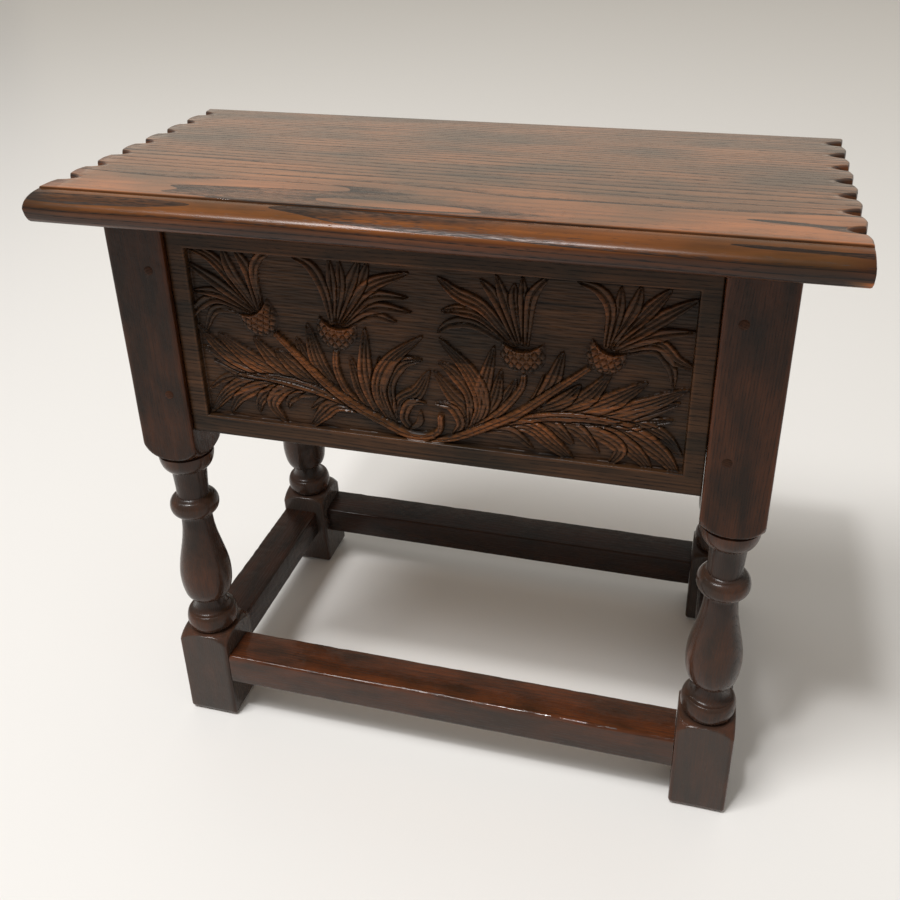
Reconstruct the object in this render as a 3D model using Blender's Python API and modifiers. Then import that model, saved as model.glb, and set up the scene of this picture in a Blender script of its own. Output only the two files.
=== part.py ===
"""Oak box stool: four raked legs with turned balusters, a boarded box tenoned and pegged
between them, a low stretcher on each side, and a hinged lid with gouged ends.

Metres, +Z up, front at -Y. The origin is on the floor, under the middle of the object's box.
"""

import math

import bmesh
import bpy
from mathutils import Matrix, Vector

# Overall sizes
HEIGHT = 0.460
FRAME_LENGTH = 0.449
FOOT_DEPTH = 0.2486
RAKE = math.radians(2.5)
FIT_GAP = 0.0003

# Lid
LID_THICKNESS = 0.019
LID_OVERHANG = 0.032
QUIRK_WIDTH = 0.0195
QUIRK_STEP = 0.0018
QUIRK_SLOPE = 0.0010
NOSE_UNDERCUT = 0.0050
NOSE_LOWER_RISE = 0.0085
NOSE_POINTS = 5
NOTCH_COUNT = 7
NOTCH_PITCH = 0.0306
NOTCH_FIRST = 0.0420
NOTCH_RADIUS = 0.0075
NOTCH_DEPTH = 0.0100
NOTCH_RUNOUT = 0.0015
NOTCH_SEGMENTS = 16

# Legs: square section, and heights up the leg of each turned member
LEG = 0.0425
LEG_SEGMENTS = 16
BLOCK_TOP = 0.0715
BLOCK_SHOULDER = 0.0120
LOW_RING_BOTTOM = 0.0840
LOW_RING_TOP = 0.0995
LOW_RING_RADIUS = 0.0203
RING_SEAT_RADIUS = 0.0172
REEL_TOP = 0.1085
REEL_RADIUS = 0.0122
VASE_BOTTOM = 0.1130
VASE_BOTTOM_RADIUS = 0.0140
VASE_BELLY = 0.1345
VASE_RADIUS = 0.0202
VASE_TOP = 0.1915
VASE_NECK_RADIUS = 0.0120
UP_RING_BOTTOM = 0.1940
UP_RING_TOP = 0.2095
UP_RING_RADIUS = 0.0188
UP_RING_SEAT_RADIUS = 0.0135
NECK_RADIUS = 0.0129
CUP_BOTTOM = 0.2350
CUP_TOP = 0.2490
CUP_RADIUS = 0.0206
POMMEL_BOTTOM = 0.2515
POMMEL_HEIGHT = 0.0150
SEAT_RADIUS = 0.0185
CURVE_POINTS = 3

# Box boards
BOARD_THICKNESS = 0.016
BOARD_BOTTOM = 0.278
FRONT_SETBACK = 0.004
BACK_SETBACK = 0.001
END_SETBACK = 0.004
FIELD_SIDE_MARGIN = 0.013
FIELD_BOTTOM_MARGIN = 0.014
FIELD_TOP_MARGIN = 0.022
FIELD_DEPTH = 0.0045

# Tenons and pegs: each board end has an upper and a lower tenon with one peg
TENON_LENGTH = 0.020
TENON_THICKNESS = 0.008
UPPER_TENON_MARGIN = 0.0147
LOWER_TENON_MARGIN = 0.0050
TENON_SPACING = 0.045
PEG_RADIUS = 0.0034
PEG_LENGTH = 0.024
PEG_INSET = 0.013
PEG_SEGMENTS = 12

# Stretchers
STRETCHER_BOTTOM = 0.038
STRETCHER_HEIGHT = 0.027
STRETCHER_WIDTH = 0.033
STRETCHER_SETBACK = 0.001
STRETCHER_TENON_LENGTH = 0.018
STRETCHER_TENON_THICKNESS = 0.010
STRETCHER_TENON_SHOULDER = 0.004

# Bottom of the box
CLEAT = 0.012
CLEAT_RISE = 0.003
BOTTOM_THICKNESS = 0.008
NAIL_RADIUS = 0.0009
NAIL_HEAD_RADIUS = 0.0022
NAIL_HEAD_HEIGHT = 0.0010
NAIL_SEGMENTS = 8
NAIL_GRIP = 0.009
CLEAT_NAIL_SPREAD = 0.045
BOTTOM_NAIL_SPREAD = 0.022

# Butt hinges
HINGE_FROM_POST = 0.057
HINGE_LENGTH = 0.050
LEAF_WIDTH = 0.0140
LEAF_THICKNESS = 0.0015
KNUCKLE_RADIUS = 0.0026
KNUCKLE_COUNT = 5
KNUCKLE_GAP = 0.0004
KNUCKLE_SEGMENTS = 16
PIN_RADIUS = 0.0014
PIN_CLEARANCE = 0.0001
PIN_BEHIND_LID = 0.0006
SCREW_SPACING = 0.032
SCREW_HEAD_RADIUS = 0.0029
SCREW_HEAD_HEIGHT = 0.0013
SCREW_RADIUS = 0.0015
SCREW_LENGTH = 0.0120
SCREW_TIP = 0.0025
SCREW_SEGMENTS = 8
SCREW_FROM_PIN = 0.0085
SCREW_SUNK = 0.0001

# Places worked out from the sizes above
POST_TOP = HEIGHT - LID_THICKNESS - FIT_GAP
LID_BOTTOM = HEIGHT - LID_THICKNESS
HALF_LENGTH = FRAME_LENGTH / 2
HALF_INNER = HALF_LENGTH - LEG
TOP_LEAN = POST_TOP * math.tan(RAKE)
NOSE_PAST_FOOT = LID_OVERHANG - TOP_LEAN
DEPTH = FOOT_DEPTH + NOSE_PAST_FOOT
FRONT_Y = DEPTH / 2 - FOOT_DEPTH
BACK_Y = DEPTH / 2
CENTRE_Y = (FRONT_Y + BACK_Y) / 2
LID_FRONT = -DEPTH / 2
LID_BACK = BACK_Y - TOP_LEAN
LID_HALF = HALF_LENGTH + LID_OVERHANG
PIN_Y = LID_BACK + PIN_BEHIND_LID
PIN_Z = POST_TOP + FIT_GAP / 2
BOX_HEIGHT = POST_TOP - BOARD_BOTTOM
TENON_HEIGHT = (BOX_HEIGHT - UPPER_TENON_MARGIN - LOWER_TENON_MARGIN - TENON_SPACING) / 2
UPPER_TENON = POST_TOP - UPPER_TENON_MARGIN - TENON_HEIGHT / 2
LOWER_TENON = BOARD_BOTTOM + LOWER_TENON_MARGIN + TENON_HEIGHT / 2
PEG_STAGGER = TENON_HEIGHT / 4
STRETCHER_TOP = STRETCHER_BOTTOM + STRETCHER_HEIGHT
CLEAT_BOTTOM = BOARD_BOTTOM + CLEAT_RISE
CLEAT_TOP = CLEAT_BOTTOM + CLEAT
BOTTOM_BASE = CLEAT_TOP + FIT_GAP
BOTTOM_TOP = BOTTOM_BASE + BOTTOM_THICKNESS
END_OUTER = HALF_LENGTH - END_SETBACK
END_INNER = END_OUTER - BOARD_THICKNESS

# Allowances that only keep cutters and joined shapes clear of the faces that they meet
OVERCUT = 0.005
LAP = 0.002
ROOM = 0.6

FRONT, BACK = -1, 1
LEFT, RIGHT = -1, 1
ALONG = {FRONT: "front", BACK: "back"}
ACROSS = {LEFT: "left", RIGHT: "right"}


def clear_scene():
    for obj in list(bpy.data.objects):
        bpy.data.objects.remove(obj, do_unlink=True)


def new_collection(name):
    collection = bpy.data.collections.new(name)
    bpy.context.scene.collection.children.link(collection)
    return collection


def new_material(name, colour, roughness, metallic=0.0):
    material = bpy.data.materials.new(name)
    material.use_nodes = True
    shader = material.node_tree.nodes["Principled BSDF"]
    shader.inputs["Base Color"].default_value = (*colour, 1.0)
    shader.inputs["Roughness"].default_value = roughness
    shader.inputs["Metallic"].default_value = metallic
    return material


clear_scene()
PARTS = new_collection("box_stool")
CUTTERS = new_collection("box_stool_cutters")
OAK = new_material("dark_oak", (0.060, 0.026, 0.013), 0.42)
TOP_OAK = new_material("waxed_oak_top", (0.105, 0.047, 0.021), 0.36)
PEG_OAK = new_material("oak_end_grain", (0.045, 0.019, 0.010), 0.55)
PINE = new_material("bare_pine", (0.300, 0.180, 0.085), 0.70)
BRASS = new_material("old_brass", (0.420, 0.290, 0.110), 0.40, 1.0)
IRON = new_material("wire_iron", (0.090, 0.085, 0.080), 0.55, 1.0)


# Places shared by pieces that meet


def frame_matrix(side):
    """The raked plane of the front or back legs: Y 0 on their outer faces, Z up the leg."""
    foot = Matrix.Translation((0.0, FRONT_Y if side == FRONT else BACK_Y, 0.0))
    return foot @ Matrix.Rotation(RAKE * side, 4, "X")


def inner_half_depth(z):
    """Half the clear depth between the front and back legs' inner faces at height z."""
    return FOOT_DEPTH / 2 - (LEG + z * math.sin(RAKE)) / math.cos(RAKE)


def board_half_depth(side, z, setback):
    """Distance from the box's middle to the inside of the front or back board at height z."""
    inset = setback + BOARD_THICKNESS
    return FOOT_DEPTH / 2 - (inset + z * math.sin(RAKE)) / math.cos(RAKE)


def up_leg(z):
    """A height above the floor as a distance up the raked leg."""
    return z / math.cos(RAKE)


# Objects and joinery


def add_object(name, mesh, collection, matrix, material=None):
    obj = bpy.data.objects.new(name, mesh)
    collection.objects.link(obj)
    obj.matrix_world = matrix
    if material:
        mesh.materials.append(material)
    if collection is CUTTERS:
        obj.hide_render = True
        obj.display_type = "WIRE"
    return obj


def mesh_from(bm, name):
    mesh = bpy.data.meshes.new(name)
    bm.to_mesh(mesh)
    bm.free()
    return mesh


def block(name, low, high, matrix, material=None):
    """A rectangular piece between two corners, or a cutter where it has no material."""
    low, high = Vector(low), Vector(high)
    bm = bmesh.new()
    bmesh.ops.create_cube(bm, size=1.0)
    bmesh.ops.scale(bm, vec=high - low, verts=bm.verts)
    bmesh.ops.translate(bm, vec=(low + high) / 2, verts=bm.verts)
    collection = PARTS if material else CUTTERS
    return add_object(name, mesh_from(bm, name), collection, matrix, material)


def sided(a, b):
    return (a, b) if a < b else (b, a)


def between_legs(name, x, z, beyond, material=None):
    """A piece across the depth, its ends cut to the legs' raked inner faces and `beyond` them."""
    bm = bmesh.new()
    bmesh.ops.create_cube(bm, size=1.0)
    for vert in bm.verts:
        height = z[1] if vert.co.z > 0 else z[0]
        reach = inner_half_depth(height) + beyond
        end = x[1] if vert.co.x > 0 else x[0]
        vert.co = (end, CENTRE_Y + math.copysign(reach, vert.co.y), height)
    collection = PARTS if material else CUTTERS
    return add_object(name, mesh_from(bm, name), collection, Matrix.Identity(4), material)


def rod(name, radius, start, end, segments, matrix, material=None):
    """A round rod between two points."""
    start, end = Vector(start), Vector(end)
    along = end - start
    bm = bmesh.new()
    bmesh.ops.create_cone(
        bm, cap_ends=True, segments=segments, radius1=radius, radius2=radius, depth=along.length
    )
    turn = along.to_track_quat("Z", "Y").to_matrix().to_4x4()
    bmesh.ops.transform(bm, matrix=Matrix.Translation((start + end) / 2) @ turn, verts=bm.verts)
    collection = PARTS if material else CUTTERS
    return add_object(name, mesh_from(bm, name), collection, matrix, material)


def turned(name, profile, segments, matrix, material=None):
    """A profile of (radius, height) points, from the top down, turned about Z."""
    bm = bmesh.new()
    verts = [bm.verts.new((radius, 0.0, height)) for radius, height in profile]
    for first, second in zip(verts, verts[1:]):
        bm.edges.new((first, second))
    collection = PARTS if material else CUTTERS
    obj = add_object(name, mesh_from(bm, name), collection, matrix, material)
    screw = obj.modifiers.new("turn", "SCREW")
    screw.steps = segments
    screw.render_steps = segments
    screw.use_merge_vertices = True
    screw.merge_threshold = 0.00001
    return obj


def boolean(obj, other, operation):
    modifier = obj.modifiers.new(f"{operation.lower()}_{other.name}", "BOOLEAN")
    modifier.operation = operation
    modifier.object = other
    modifier.solver = "EXACT"


def cut(obj, *cutters):
    for cutter in cutters:
        boolean(obj, cutter, "DIFFERENCE")


def join(obj, *others):
    for other in others:
        boolean(obj, other, "UNION")


def shade_round(obj):
    obj.data.shade_smooth()
    obj.data.set_sharp_from_angle(angle=math.radians(30))


# Legs


def arc_points(start, end, bulge, count):
    """Points of a quarter ellipse from start to end; `bulge` +1 swells outwards, -1 is hollow."""
    points = []
    for step in range(count + 1):
        turn = math.pi / 2 * step / count
        across, down = (math.sin(turn), 1 - math.cos(turn))
        if bulge < 0:
            across, down = (1 - math.cos(turn), math.sin(turn))
        radius = start[0] + (end[0] - start[0]) * across
        height = start[1] + (end[1] - start[1]) * down
        points.append((radius, height))
    return points


def ring_points(top, bottom, seat, radius, count):
    """A half-round ring standing out from its seat."""
    middle, half = (top + bottom) / 2, (top - bottom) / 2
    points = []
    for step in range(count + 1):
        turn = math.pi * step / count
        points.append((seat + (radius - seat) * math.sin(turn), middle + half * math.cos(turn)))
    return points


def vase_points():
    """The baluster's vase: a long hollow neck that swells into a round belly low down."""
    points = []
    neck_steps = 2 * CURVE_POINTS
    for step in range(neck_steps + 1):
        share = step / neck_steps
        swell = (1 - math.cos(math.pi * share ** 1.15)) / 2
        radius = VASE_NECK_RADIUS + (VASE_RADIUS - VASE_NECK_RADIUS) * swell
        points.append((radius, VASE_TOP + (VASE_BELLY - VASE_TOP) * share))
    for step in range(1, CURVE_POINTS + 1):
        turn = math.pi / 2 * step / CURVE_POINTS
        radius = VASE_BOTTOM_RADIUS + (VASE_RADIUS - VASE_BOTTOM_RADIUS) * math.cos(turn)
        points.append((radius, VASE_BELLY + (VASE_BOTTOM - VASE_BELLY) * math.sin(turn)))
    return points


def leg_envelope():
    """What the lathe leaves: clear of the square where the leg is square, the turning between."""
    clear = LEG
    corner = LEG / 2 * math.sqrt(2) + LAP
    profile = [(0.0, HEIGHT + OVERCUT), (clear, HEIGHT + OVERCUT)]
    profile.append((clear, POMMEL_BOTTOM + POMMEL_HEIGHT))
    profile += arc_points(
        (corner, POMMEL_BOTTOM + POMMEL_HEIGHT), (SEAT_RADIUS, POMMEL_BOTTOM), -1, CURVE_POINTS
    )
    profile += [(SEAT_RADIUS, CUP_TOP), (CUP_RADIUS, CUP_TOP)]
    profile += arc_points((CUP_RADIUS, CUP_TOP), (NECK_RADIUS, CUP_BOTTOM), -1, CURVE_POINTS)[1:]
    profile.append((NECK_RADIUS, (CUP_BOTTOM + UP_RING_TOP) / 2))
    profile += ring_points(
        UP_RING_TOP, UP_RING_BOTTOM, UP_RING_SEAT_RADIUS, UP_RING_RADIUS, 2 * CURVE_POINTS
    )
    profile += vase_points()
    profile.append((REEL_RADIUS, VASE_BOTTOM))
    profile += arc_points((REEL_RADIUS, REEL_TOP), (RING_SEAT_RADIUS, LOW_RING_TOP), -1, CURVE_POINTS)
    profile += ring_points(
        LOW_RING_TOP, LOW_RING_BOTTOM, RING_SEAT_RADIUS, LOW_RING_RADIUS, 2 * CURVE_POINTS
    )[1:]
    profile += arc_points(
        (RING_SEAT_RADIUS, BLOCK_TOP + BLOCK_SHOULDER), (corner, BLOCK_TOP), 1, CURVE_POINTS
    )
    profile += [(clear, BLOCK_TOP), (clear, -OVERCUT), (0.0, -OVERCUT)]
    return profile


def make_leg(side, end):
    """A leg cut from a square length, turned, and trimmed level at the floor and under the lid."""
    name = f"{ALONG[side]}_{ACROSS[end]}_leg"
    axis = frame_matrix(side) @ Matrix.Translation(
        (end * (HALF_LENGTH - LEG / 2), -side * LEG / 2, 0.0)
    )
    leg = block(
        name, (-LEG / 2, -LEG / 2, -OVERCUT), (LEG / 2, LEG / 2, HEIGHT), axis, OAK
    )
    lathe = turned(f"{name}_turning", leg_envelope(), LEG_SEGMENTS, axis)
    boolean(leg, lathe, "INTERSECT")
    boolean(leg, STOREY, "INTERSECT")
    return leg


# Joints between boards, stretchers and legs


def grown(low, high, by):
    return [a - by for a in low], [b + by for b in high]


def tenon_pair(board, leg, name, low, high, matrix):
    """A tenon joined to its board, and the mortise that it fits cut in the leg."""
    tenon = block(f"{name}_tenon", low, high, matrix)
    join(board, tenon)
    cut(leg, block(f"{name}_mortise", *grown(low, high, FIT_GAP), matrix))


def peg_joint(board, leg, name, face, inwards, matrix):
    """A peg driven in flush from the leg's face through the tenon."""
    face, inwards = Vector(face), Vector(inwards)
    tip = face + inwards * PEG_LENGTH
    peg = rod(name, PEG_RADIUS, face, tip, PEG_SEGMENTS, matrix, PEG_OAK)
    shade_round(peg)
    hole = rod(
        f"{name}_hole",
        PEG_RADIUS + FIT_GAP,
        face - inwards * OVERCUT,
        tip + inwards * FIT_GAP,
        PEG_SEGMENTS,
        matrix,
    )
    cut(leg, hole)
    cut(board, hole)


def make_long_board(side, setback):
    """The front or back board, which lies in the raked plane of its legs."""
    matrix = frame_matrix(side)
    name = f"{ALONG[side]}_board"
    inwards = -side
    near, far = inwards * setback, inwards * (setback + BOARD_THICKNESS)
    depth = sided(near, far)
    half = HALF_INNER - FIT_GAP
    board = block(
        name, (-half, depth[0], up_leg(BOARD_BOTTOM)), (half, depth[1], HEIGHT), matrix, OAK
    )
    middle = (near + far) / 2
    for end in (LEFT, RIGHT):
        leg = LEGS[side, end]
        reach = sided(end * (half - LAP), end * (HALF_INNER + TENON_LENGTH))
        for level, place in (("upper", UPPER_TENON), ("lower", LOWER_TENON)):
            joint = f"{name}_{ACROSS[end]}_{level}"
            height = up_leg(place)
            low = (reach[0], middle - TENON_THICKNESS / 2, height - TENON_HEIGHT / 2)
            high = (reach[1], middle + TENON_THICKNESS / 2, height + TENON_HEIGHT / 2)
            tenon_pair(board, leg, joint, low, high, matrix)
            face = (end * (HALF_INNER + PEG_INSET), 0.0, height)
            peg = f"{ALONG[side]}_{ACROSS[end]}_{level}_peg"
            peg_joint(board, leg, peg, face, (0, inwards, 0), matrix)
    boolean(board, STOREY, "INTERSECT")
    return board


def sink_field(board):
    """The sunk ground of the carved front, inside a plain margin."""
    half = HALF_INNER - FIELD_SIDE_MARGIN
    low = (-half, FRONT_SETBACK - OVERCUT, up_leg(BOARD_BOTTOM + FIELD_BOTTOM_MARGIN))
    high = (half, FRONT_SETBACK + FIELD_DEPTH, up_leg(POST_TOP - FIELD_TOP_MARGIN))
    cut(board, block("carved_field", low, high, frame_matrix(FRONT)))


def make_end_board(end):
    """An end board, tapered to the rake of the legs that it joins."""
    name = f"{ACROSS[end]}_end_board"
    x = sided(end * END_INNER, end * END_OUTER)
    board = between_legs(name, x, (BOARD_BOTTOM, POST_TOP), -FIT_GAP, OAK)
    middle = (x[0] + x[1]) / 2
    world = Matrix.Identity(4)
    for side in (FRONT, BACK):
        leg = LEGS[side, end]
        for level, place in (("upper", UPPER_TENON), ("lower", LOWER_TENON)):
            joint = f"{name}_{ALONG[side]}_{level}"
            shoulder = inner_half_depth(place)
            deepest = inner_half_depth(place + TENON_HEIGHT / 2)
            y = sided(
                CENTRE_Y + side * (deepest - 2 * LAP), CENTRE_Y + side * (shoulder + TENON_LENGTH)
            )
            low = (middle - TENON_THICKNESS / 2, y[0], place - TENON_HEIGHT / 2)
            high = (middle + TENON_THICKNESS / 2, y[1], place + TENON_HEIGHT / 2)
            tenon_pair(board, leg, joint, low, high, world)
            stagger = -PEG_STAGGER if level == "upper" else PEG_STAGGER
            height = place + stagger
            at = CENTRE_Y + side * (inner_half_depth(height) + PEG_INSET)
            peg = f"{ACROSS[end]}_{ALONG[side]}_{level}_peg"
            peg_joint(board, leg, peg, (end * HALF_LENGTH, at, height), (-end, 0, 0), world)
    return board


def make_long_stretcher(side):
    """The front or back stretcher, close to flush with the outer faces of its legs."""
    matrix = frame_matrix(side)
    name = f"{ALONG[side]}_stretcher"
    inwards = -side
    depth = sided(inwards * STRETCHER_SETBACK, inwards * (STRETCHER_SETBACK + STRETCHER_WIDTH))
    half = HALF_INNER - FIT_GAP
    bottom, top = up_leg(STRETCHER_BOTTOM), up_leg(STRETCHER_TOP)
    rail = block(name, (-half, depth[0], bottom), (half, depth[1], top), matrix, OAK)
    middle = (depth[0] + depth[1]) / 2
    for end in (LEFT, RIGHT):
        reach = sided(end * (half - LAP), end * (HALF_INNER + STRETCHER_TENON_LENGTH))
        thick = STRETCHER_TENON_THICKNESS / 2
        low = (reach[0], middle - thick, bottom + STRETCHER_TENON_SHOULDER)
        high = (reach[1], middle + thick, top - STRETCHER_TENON_SHOULDER)
        tenon_pair(rail, LEGS[side, end], f"{name}_{ACROSS[end]}", low, high, matrix)
    return rail


def make_end_stretcher(end):
    """The left or right stretcher, its shoulders cut to the rake."""
    name = f"{ACROSS[end]}_stretcher"
    outer = HALF_LENGTH - STRETCHER_SETBACK
    x = sided(end * outer, end * (outer - STRETCHER_WIDTH))
    rail = between_legs(name, x, (STRETCHER_BOTTOM, STRETCHER_TOP), -FIT_GAP, OAK)
    middle = (x[0] + x[1]) / 2
    thick = STRETCHER_TENON_THICKNESS / 2
    for side in (FRONT, BACK):
        shoulder = inner_half_depth(STRETCHER_BOTTOM)
        deepest = inner_half_depth(STRETCHER_TOP)
        y = sided(
            CENTRE_Y + side * (deepest - LAP),
            CENTRE_Y + side * (shoulder + STRETCHER_TENON_LENGTH),
        )
        low = (middle - thick, y[0], STRETCHER_BOTTOM + STRETCHER_TENON_SHOULDER)
        high = (middle + thick, y[1], STRETCHER_TOP - STRETCHER_TENON_SHOULDER)
        tenon_pair(rail, LEGS[side, end], f"{name}_{ALONG[side]}", low, high, Matrix.Identity(4))
    return rail


# Bottom of the box


def nail_profile(grip, grow=0.0):
    """A flat-headed wire nail with its head's top at height 0."""
    head, shank = NAIL_HEAD_RADIUS + grow, NAIL_RADIUS + grow
    under_head = -NAIL_HEAD_HEIGHT - grow
    return [(0.0, grow), (head, grow), (head, under_head), (shank, under_head), (shank, -grip - grow),
            (0.0, -grip - grow)]


def drive_nail(name, matrix, length, *pieces):
    """A nail with its hole through each piece that it holds."""
    nail = turned(name, nail_profile(length), NAIL_SEGMENTS, matrix, IRON)
    shade_round(nail)
    hole = turned(f"{name}_hole", nail_profile(length, FIT_GAP), NAIL_SEGMENTS, matrix)
    for piece in pieces:
        cut(piece, hole)
    return nail


def make_bottom():
    """A pine bottom notched round the legs, on a cleat nailed inside each end board."""
    half = END_INNER - FIT_GAP
    front = board_half_depth(FRONT, BOTTOM_TOP, FRONT_SETBACK) - FIT_GAP
    back = board_half_depth(BACK, BOTTOM_TOP, BACK_SETBACK) - FIT_GAP
    bottom = block(
        "bottom_board",
        (-half, CENTRE_Y - front, BOTTOM_BASE),
        (half, CENTRE_Y + back, BOTTOM_TOP),
        Matrix.Identity(4),
        PINE,
    )
    for (side, end), leg in LEGS.items():
        x = sided(end * (HALF_INNER - FIT_GAP), end * (HALF_LENGTH + OVERCUT))
        y = sided(side * OVERCUT, -side * (LEG + FIT_GAP))
        notch = block(
            f"{leg.name}_notch", (x[0], y[0], BOARD_BOTTOM), (x[1], y[1], POST_TOP), frame_matrix(side)
        )
        cut(bottom, notch)
    for end in (LEFT, RIGHT):
        make_cleat(end, bottom)
    return bottom


def make_cleat(end, bottom):
    """A cleat nailed to its end board, with the bottom nailed down to it."""
    name = f"{ACROSS[end]}_cleat"
    face = END_INNER - FIT_GAP
    x = sided(end * face, end * (face - CLEAT))
    cleat = between_legs(name, x, (CLEAT_BOTTOM, CLEAT_TOP), -FIT_GAP, PINE)
    into_board = Matrix.Rotation(-end * math.pi / 2, 4, "Y")
    for side in (FRONT, BACK):
        at = (end * (face - CLEAT), CENTRE_Y + side * CLEAT_NAIL_SPREAD, (CLEAT_BOTTOM + CLEAT_TOP) / 2)
        drive_nail(
            f"{name}_{ALONG[side]}_nail",
            Matrix.Translation(at) @ into_board,
            CLEAT + NAIL_GRIP,
            cleat,
            END_BOARDS[end],
        )
        at = (end * (face - CLEAT / 2), CENTRE_Y + side * BOTTOM_NAIL_SPREAD, BOTTOM_TOP)
        drive_nail(
            f"bottom_{ACROSS[end]}_{ALONG[side]}_nail",
            Matrix.Translation(at),
            BOTTOM_THICKNESS + NAIL_GRIP,
            bottom,
            cleat,
        )
    return cleat


# Lid


def lid_outline():
    """The lid's section, front to back: a quirk, then a thumb moulding that rolls under."""
    quirk = LID_FRONT + QUIRK_WIDTH
    step = HEIGHT - QUIRK_STEP
    outline = [(LID_BACK, LID_BOTTOM), (LID_BACK, HEIGHT), (quirk, HEIGHT), (quirk - QUIRK_SLOPE, step)]
    waist = LID_BOTTOM + NOSE_LOWER_RISE
    for point in range(1, NOSE_POINTS + 1):
        turn = math.pi / 2 * point / NOSE_POINTS
        y = quirk - QUIRK_SLOPE - (QUIRK_WIDTH - QUIRK_SLOPE) * math.sin(turn)
        outline.append((y, waist + (step - waist) * math.cos(turn)))
    for point in range(1, NOSE_POINTS + 1):
        turn = math.pi / 2 * point / NOSE_POINTS
        y = LID_FRONT + NOSE_UNDERCUT * (1 - math.cos(turn))
        outline.append((y, waist - NOSE_LOWER_RISE * math.sin(turn)))
    return outline


def extruded(name, outline, half, material):
    """An outline of (y, z) points, as thick as twice `half` along X."""
    curve = bpy.data.curves.new(f"{name}_outline", "CURVE")
    curve.dimensions = "2D"
    curve.fill_mode = "BOTH"
    curve.extrude = half
    spline = curve.splines.new("POLY")
    spline.points.add(len(outline) - 1)
    for point, (y, z) in zip(spline.points, outline):
        point.co = (y, z, 0.0, 1.0)
    spline.use_cyclic_u = True
    flat = bpy.data.objects.new(f"{name}_outline", curve)
    CUTTERS.objects.link(flat)
    bpy.context.view_layer.update()
    evaluated = flat.evaluated_get(bpy.context.evaluated_depsgraph_get())
    mesh = bpy.data.meshes.new_from_object(evaluated)
    mesh.name = name
    bpy.data.objects.remove(flat)
    to_section = Matrix(((0, 0, 1, 0), (1, 0, 0, 0), (0, 1, 0, 0), (0, 0, 0, 1)))
    bm = bmesh.new()
    bm.from_mesh(mesh)
    bmesh.ops.remove_doubles(bm, verts=bm.verts, dist=0.000001)
    bmesh.ops.transform(bm, matrix=to_section, verts=bm.verts)
    bmesh.ops.recalc_face_normals(bm, faces=bm.faces)
    bm.to_mesh(mesh)
    bm.free()
    mesh.materials.clear()
    return add_object(name, mesh, PARTS, Matrix.Identity(4), material)


def make_lid():
    """The lid board, its ends gouged at a slant so that each cut runs out at the lower edge."""
    lid = extruded("lid", lid_outline(), LID_HALF, TOP_OAK)
    cut_height = LID_THICKNESS - NOTCH_RUNOUT
    slant = math.atan2(NOTCH_DEPTH, cut_height)
    outwards = NOTCH_RADIUS / math.cos(slant)
    run = OVERCUT * math.tan(slant)
    run_below = (NOTCH_RUNOUT + OVERCUT) * math.tan(slant)
    for end in (LEFT, RIGHT):
        for count in range(NOTCH_COUNT):
            y = LID_FRONT + NOTCH_FIRST + count * NOTCH_PITCH
            top = (end * (LID_HALF - NOTCH_DEPTH + outwards - run), y, HEIGHT + OVERCUT)
            foot = (end * (LID_HALF + outwards + run_below), y, LID_BOTTOM - OVERCUT)
            gouge = rod(
                f"lid_{ACROSS[end]}_gouge_{count + 1}",
                NOTCH_RADIUS,
                foot,
                top,
                NOTCH_SEGMENTS,
                Matrix.Identity(4),
            )
            cut(lid, gouge)
    return lid


# Hinges


def screw_profile(grow=0.0, rise=0.0):
    """A countersunk screw with its head's top at height 0; a hole is grown and rises past it."""
    head, shank = SCREW_HEAD_RADIUS + grow, SCREW_RADIUS + grow
    profile = [(0.0, rise), (head, rise)]
    if rise:
        profile.append((head, 0.0))
    profile.append((shank, -SCREW_HEAD_HEIGHT))
    profile.append((shank, SCREW_TIP - SCREW_LENGTH))
    profile.append((0.0, -SCREW_LENGTH - grow))
    return profile


def make_leaf(name, x, up, knuckles):
    """A hinge leaf: a plate let in flush, with every second knuckle rolled round the pin."""
    world = Matrix.Identity(4)
    flush = FIT_GAP / 2
    z = sided(PIN_Z + up * flush, PIN_Z + up * (flush + LEAF_THICKNESS))
    clear = KNUCKLE_RADIUS + KNUCKLE_GAP
    half = HINGE_LENGTH / 2
    leaf = block(
        name, (x - half, PIN_Y - LEAF_WIDTH, z[0]), (x + half, PIN_Y - clear, z[1]), world, BRASS
    )
    pitch = HINGE_LENGTH / KNUCKLE_COUNT
    for knuckle in knuckles:
        start = x - half + knuckle * pitch + KNUCKLE_GAP / 2
        stop = start + pitch - KNUCKLE_GAP
        tab = block(
            f"{name}_tab_{knuckle}",
            (start, PIN_Y - clear - LAP, z[0]),
            (stop, PIN_Y - PIN_RADIUS / 2, z[1]),
            world,
        )
        barrel = rod(
            f"{name}_barrel_{knuckle}",
            KNUCKLE_RADIUS,
            (start, PIN_Y, PIN_Z),
            (stop, PIN_Y, PIN_Z),
            KNUCKLE_SEGMENTS,
            world,
        )
        join(leaf, tab, barrel)
    bore = rod(
        f"{name}_bore",
        PIN_RADIUS + PIN_CLEARANCE,
        (x - half - OVERCUT, PIN_Y, PIN_Z),
        (x + half + OVERCUT, PIN_Y, PIN_Z),
        KNUCKLE_SEGMENTS,
        world,
    )
    cut(leaf, bore)
    return leaf


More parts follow.
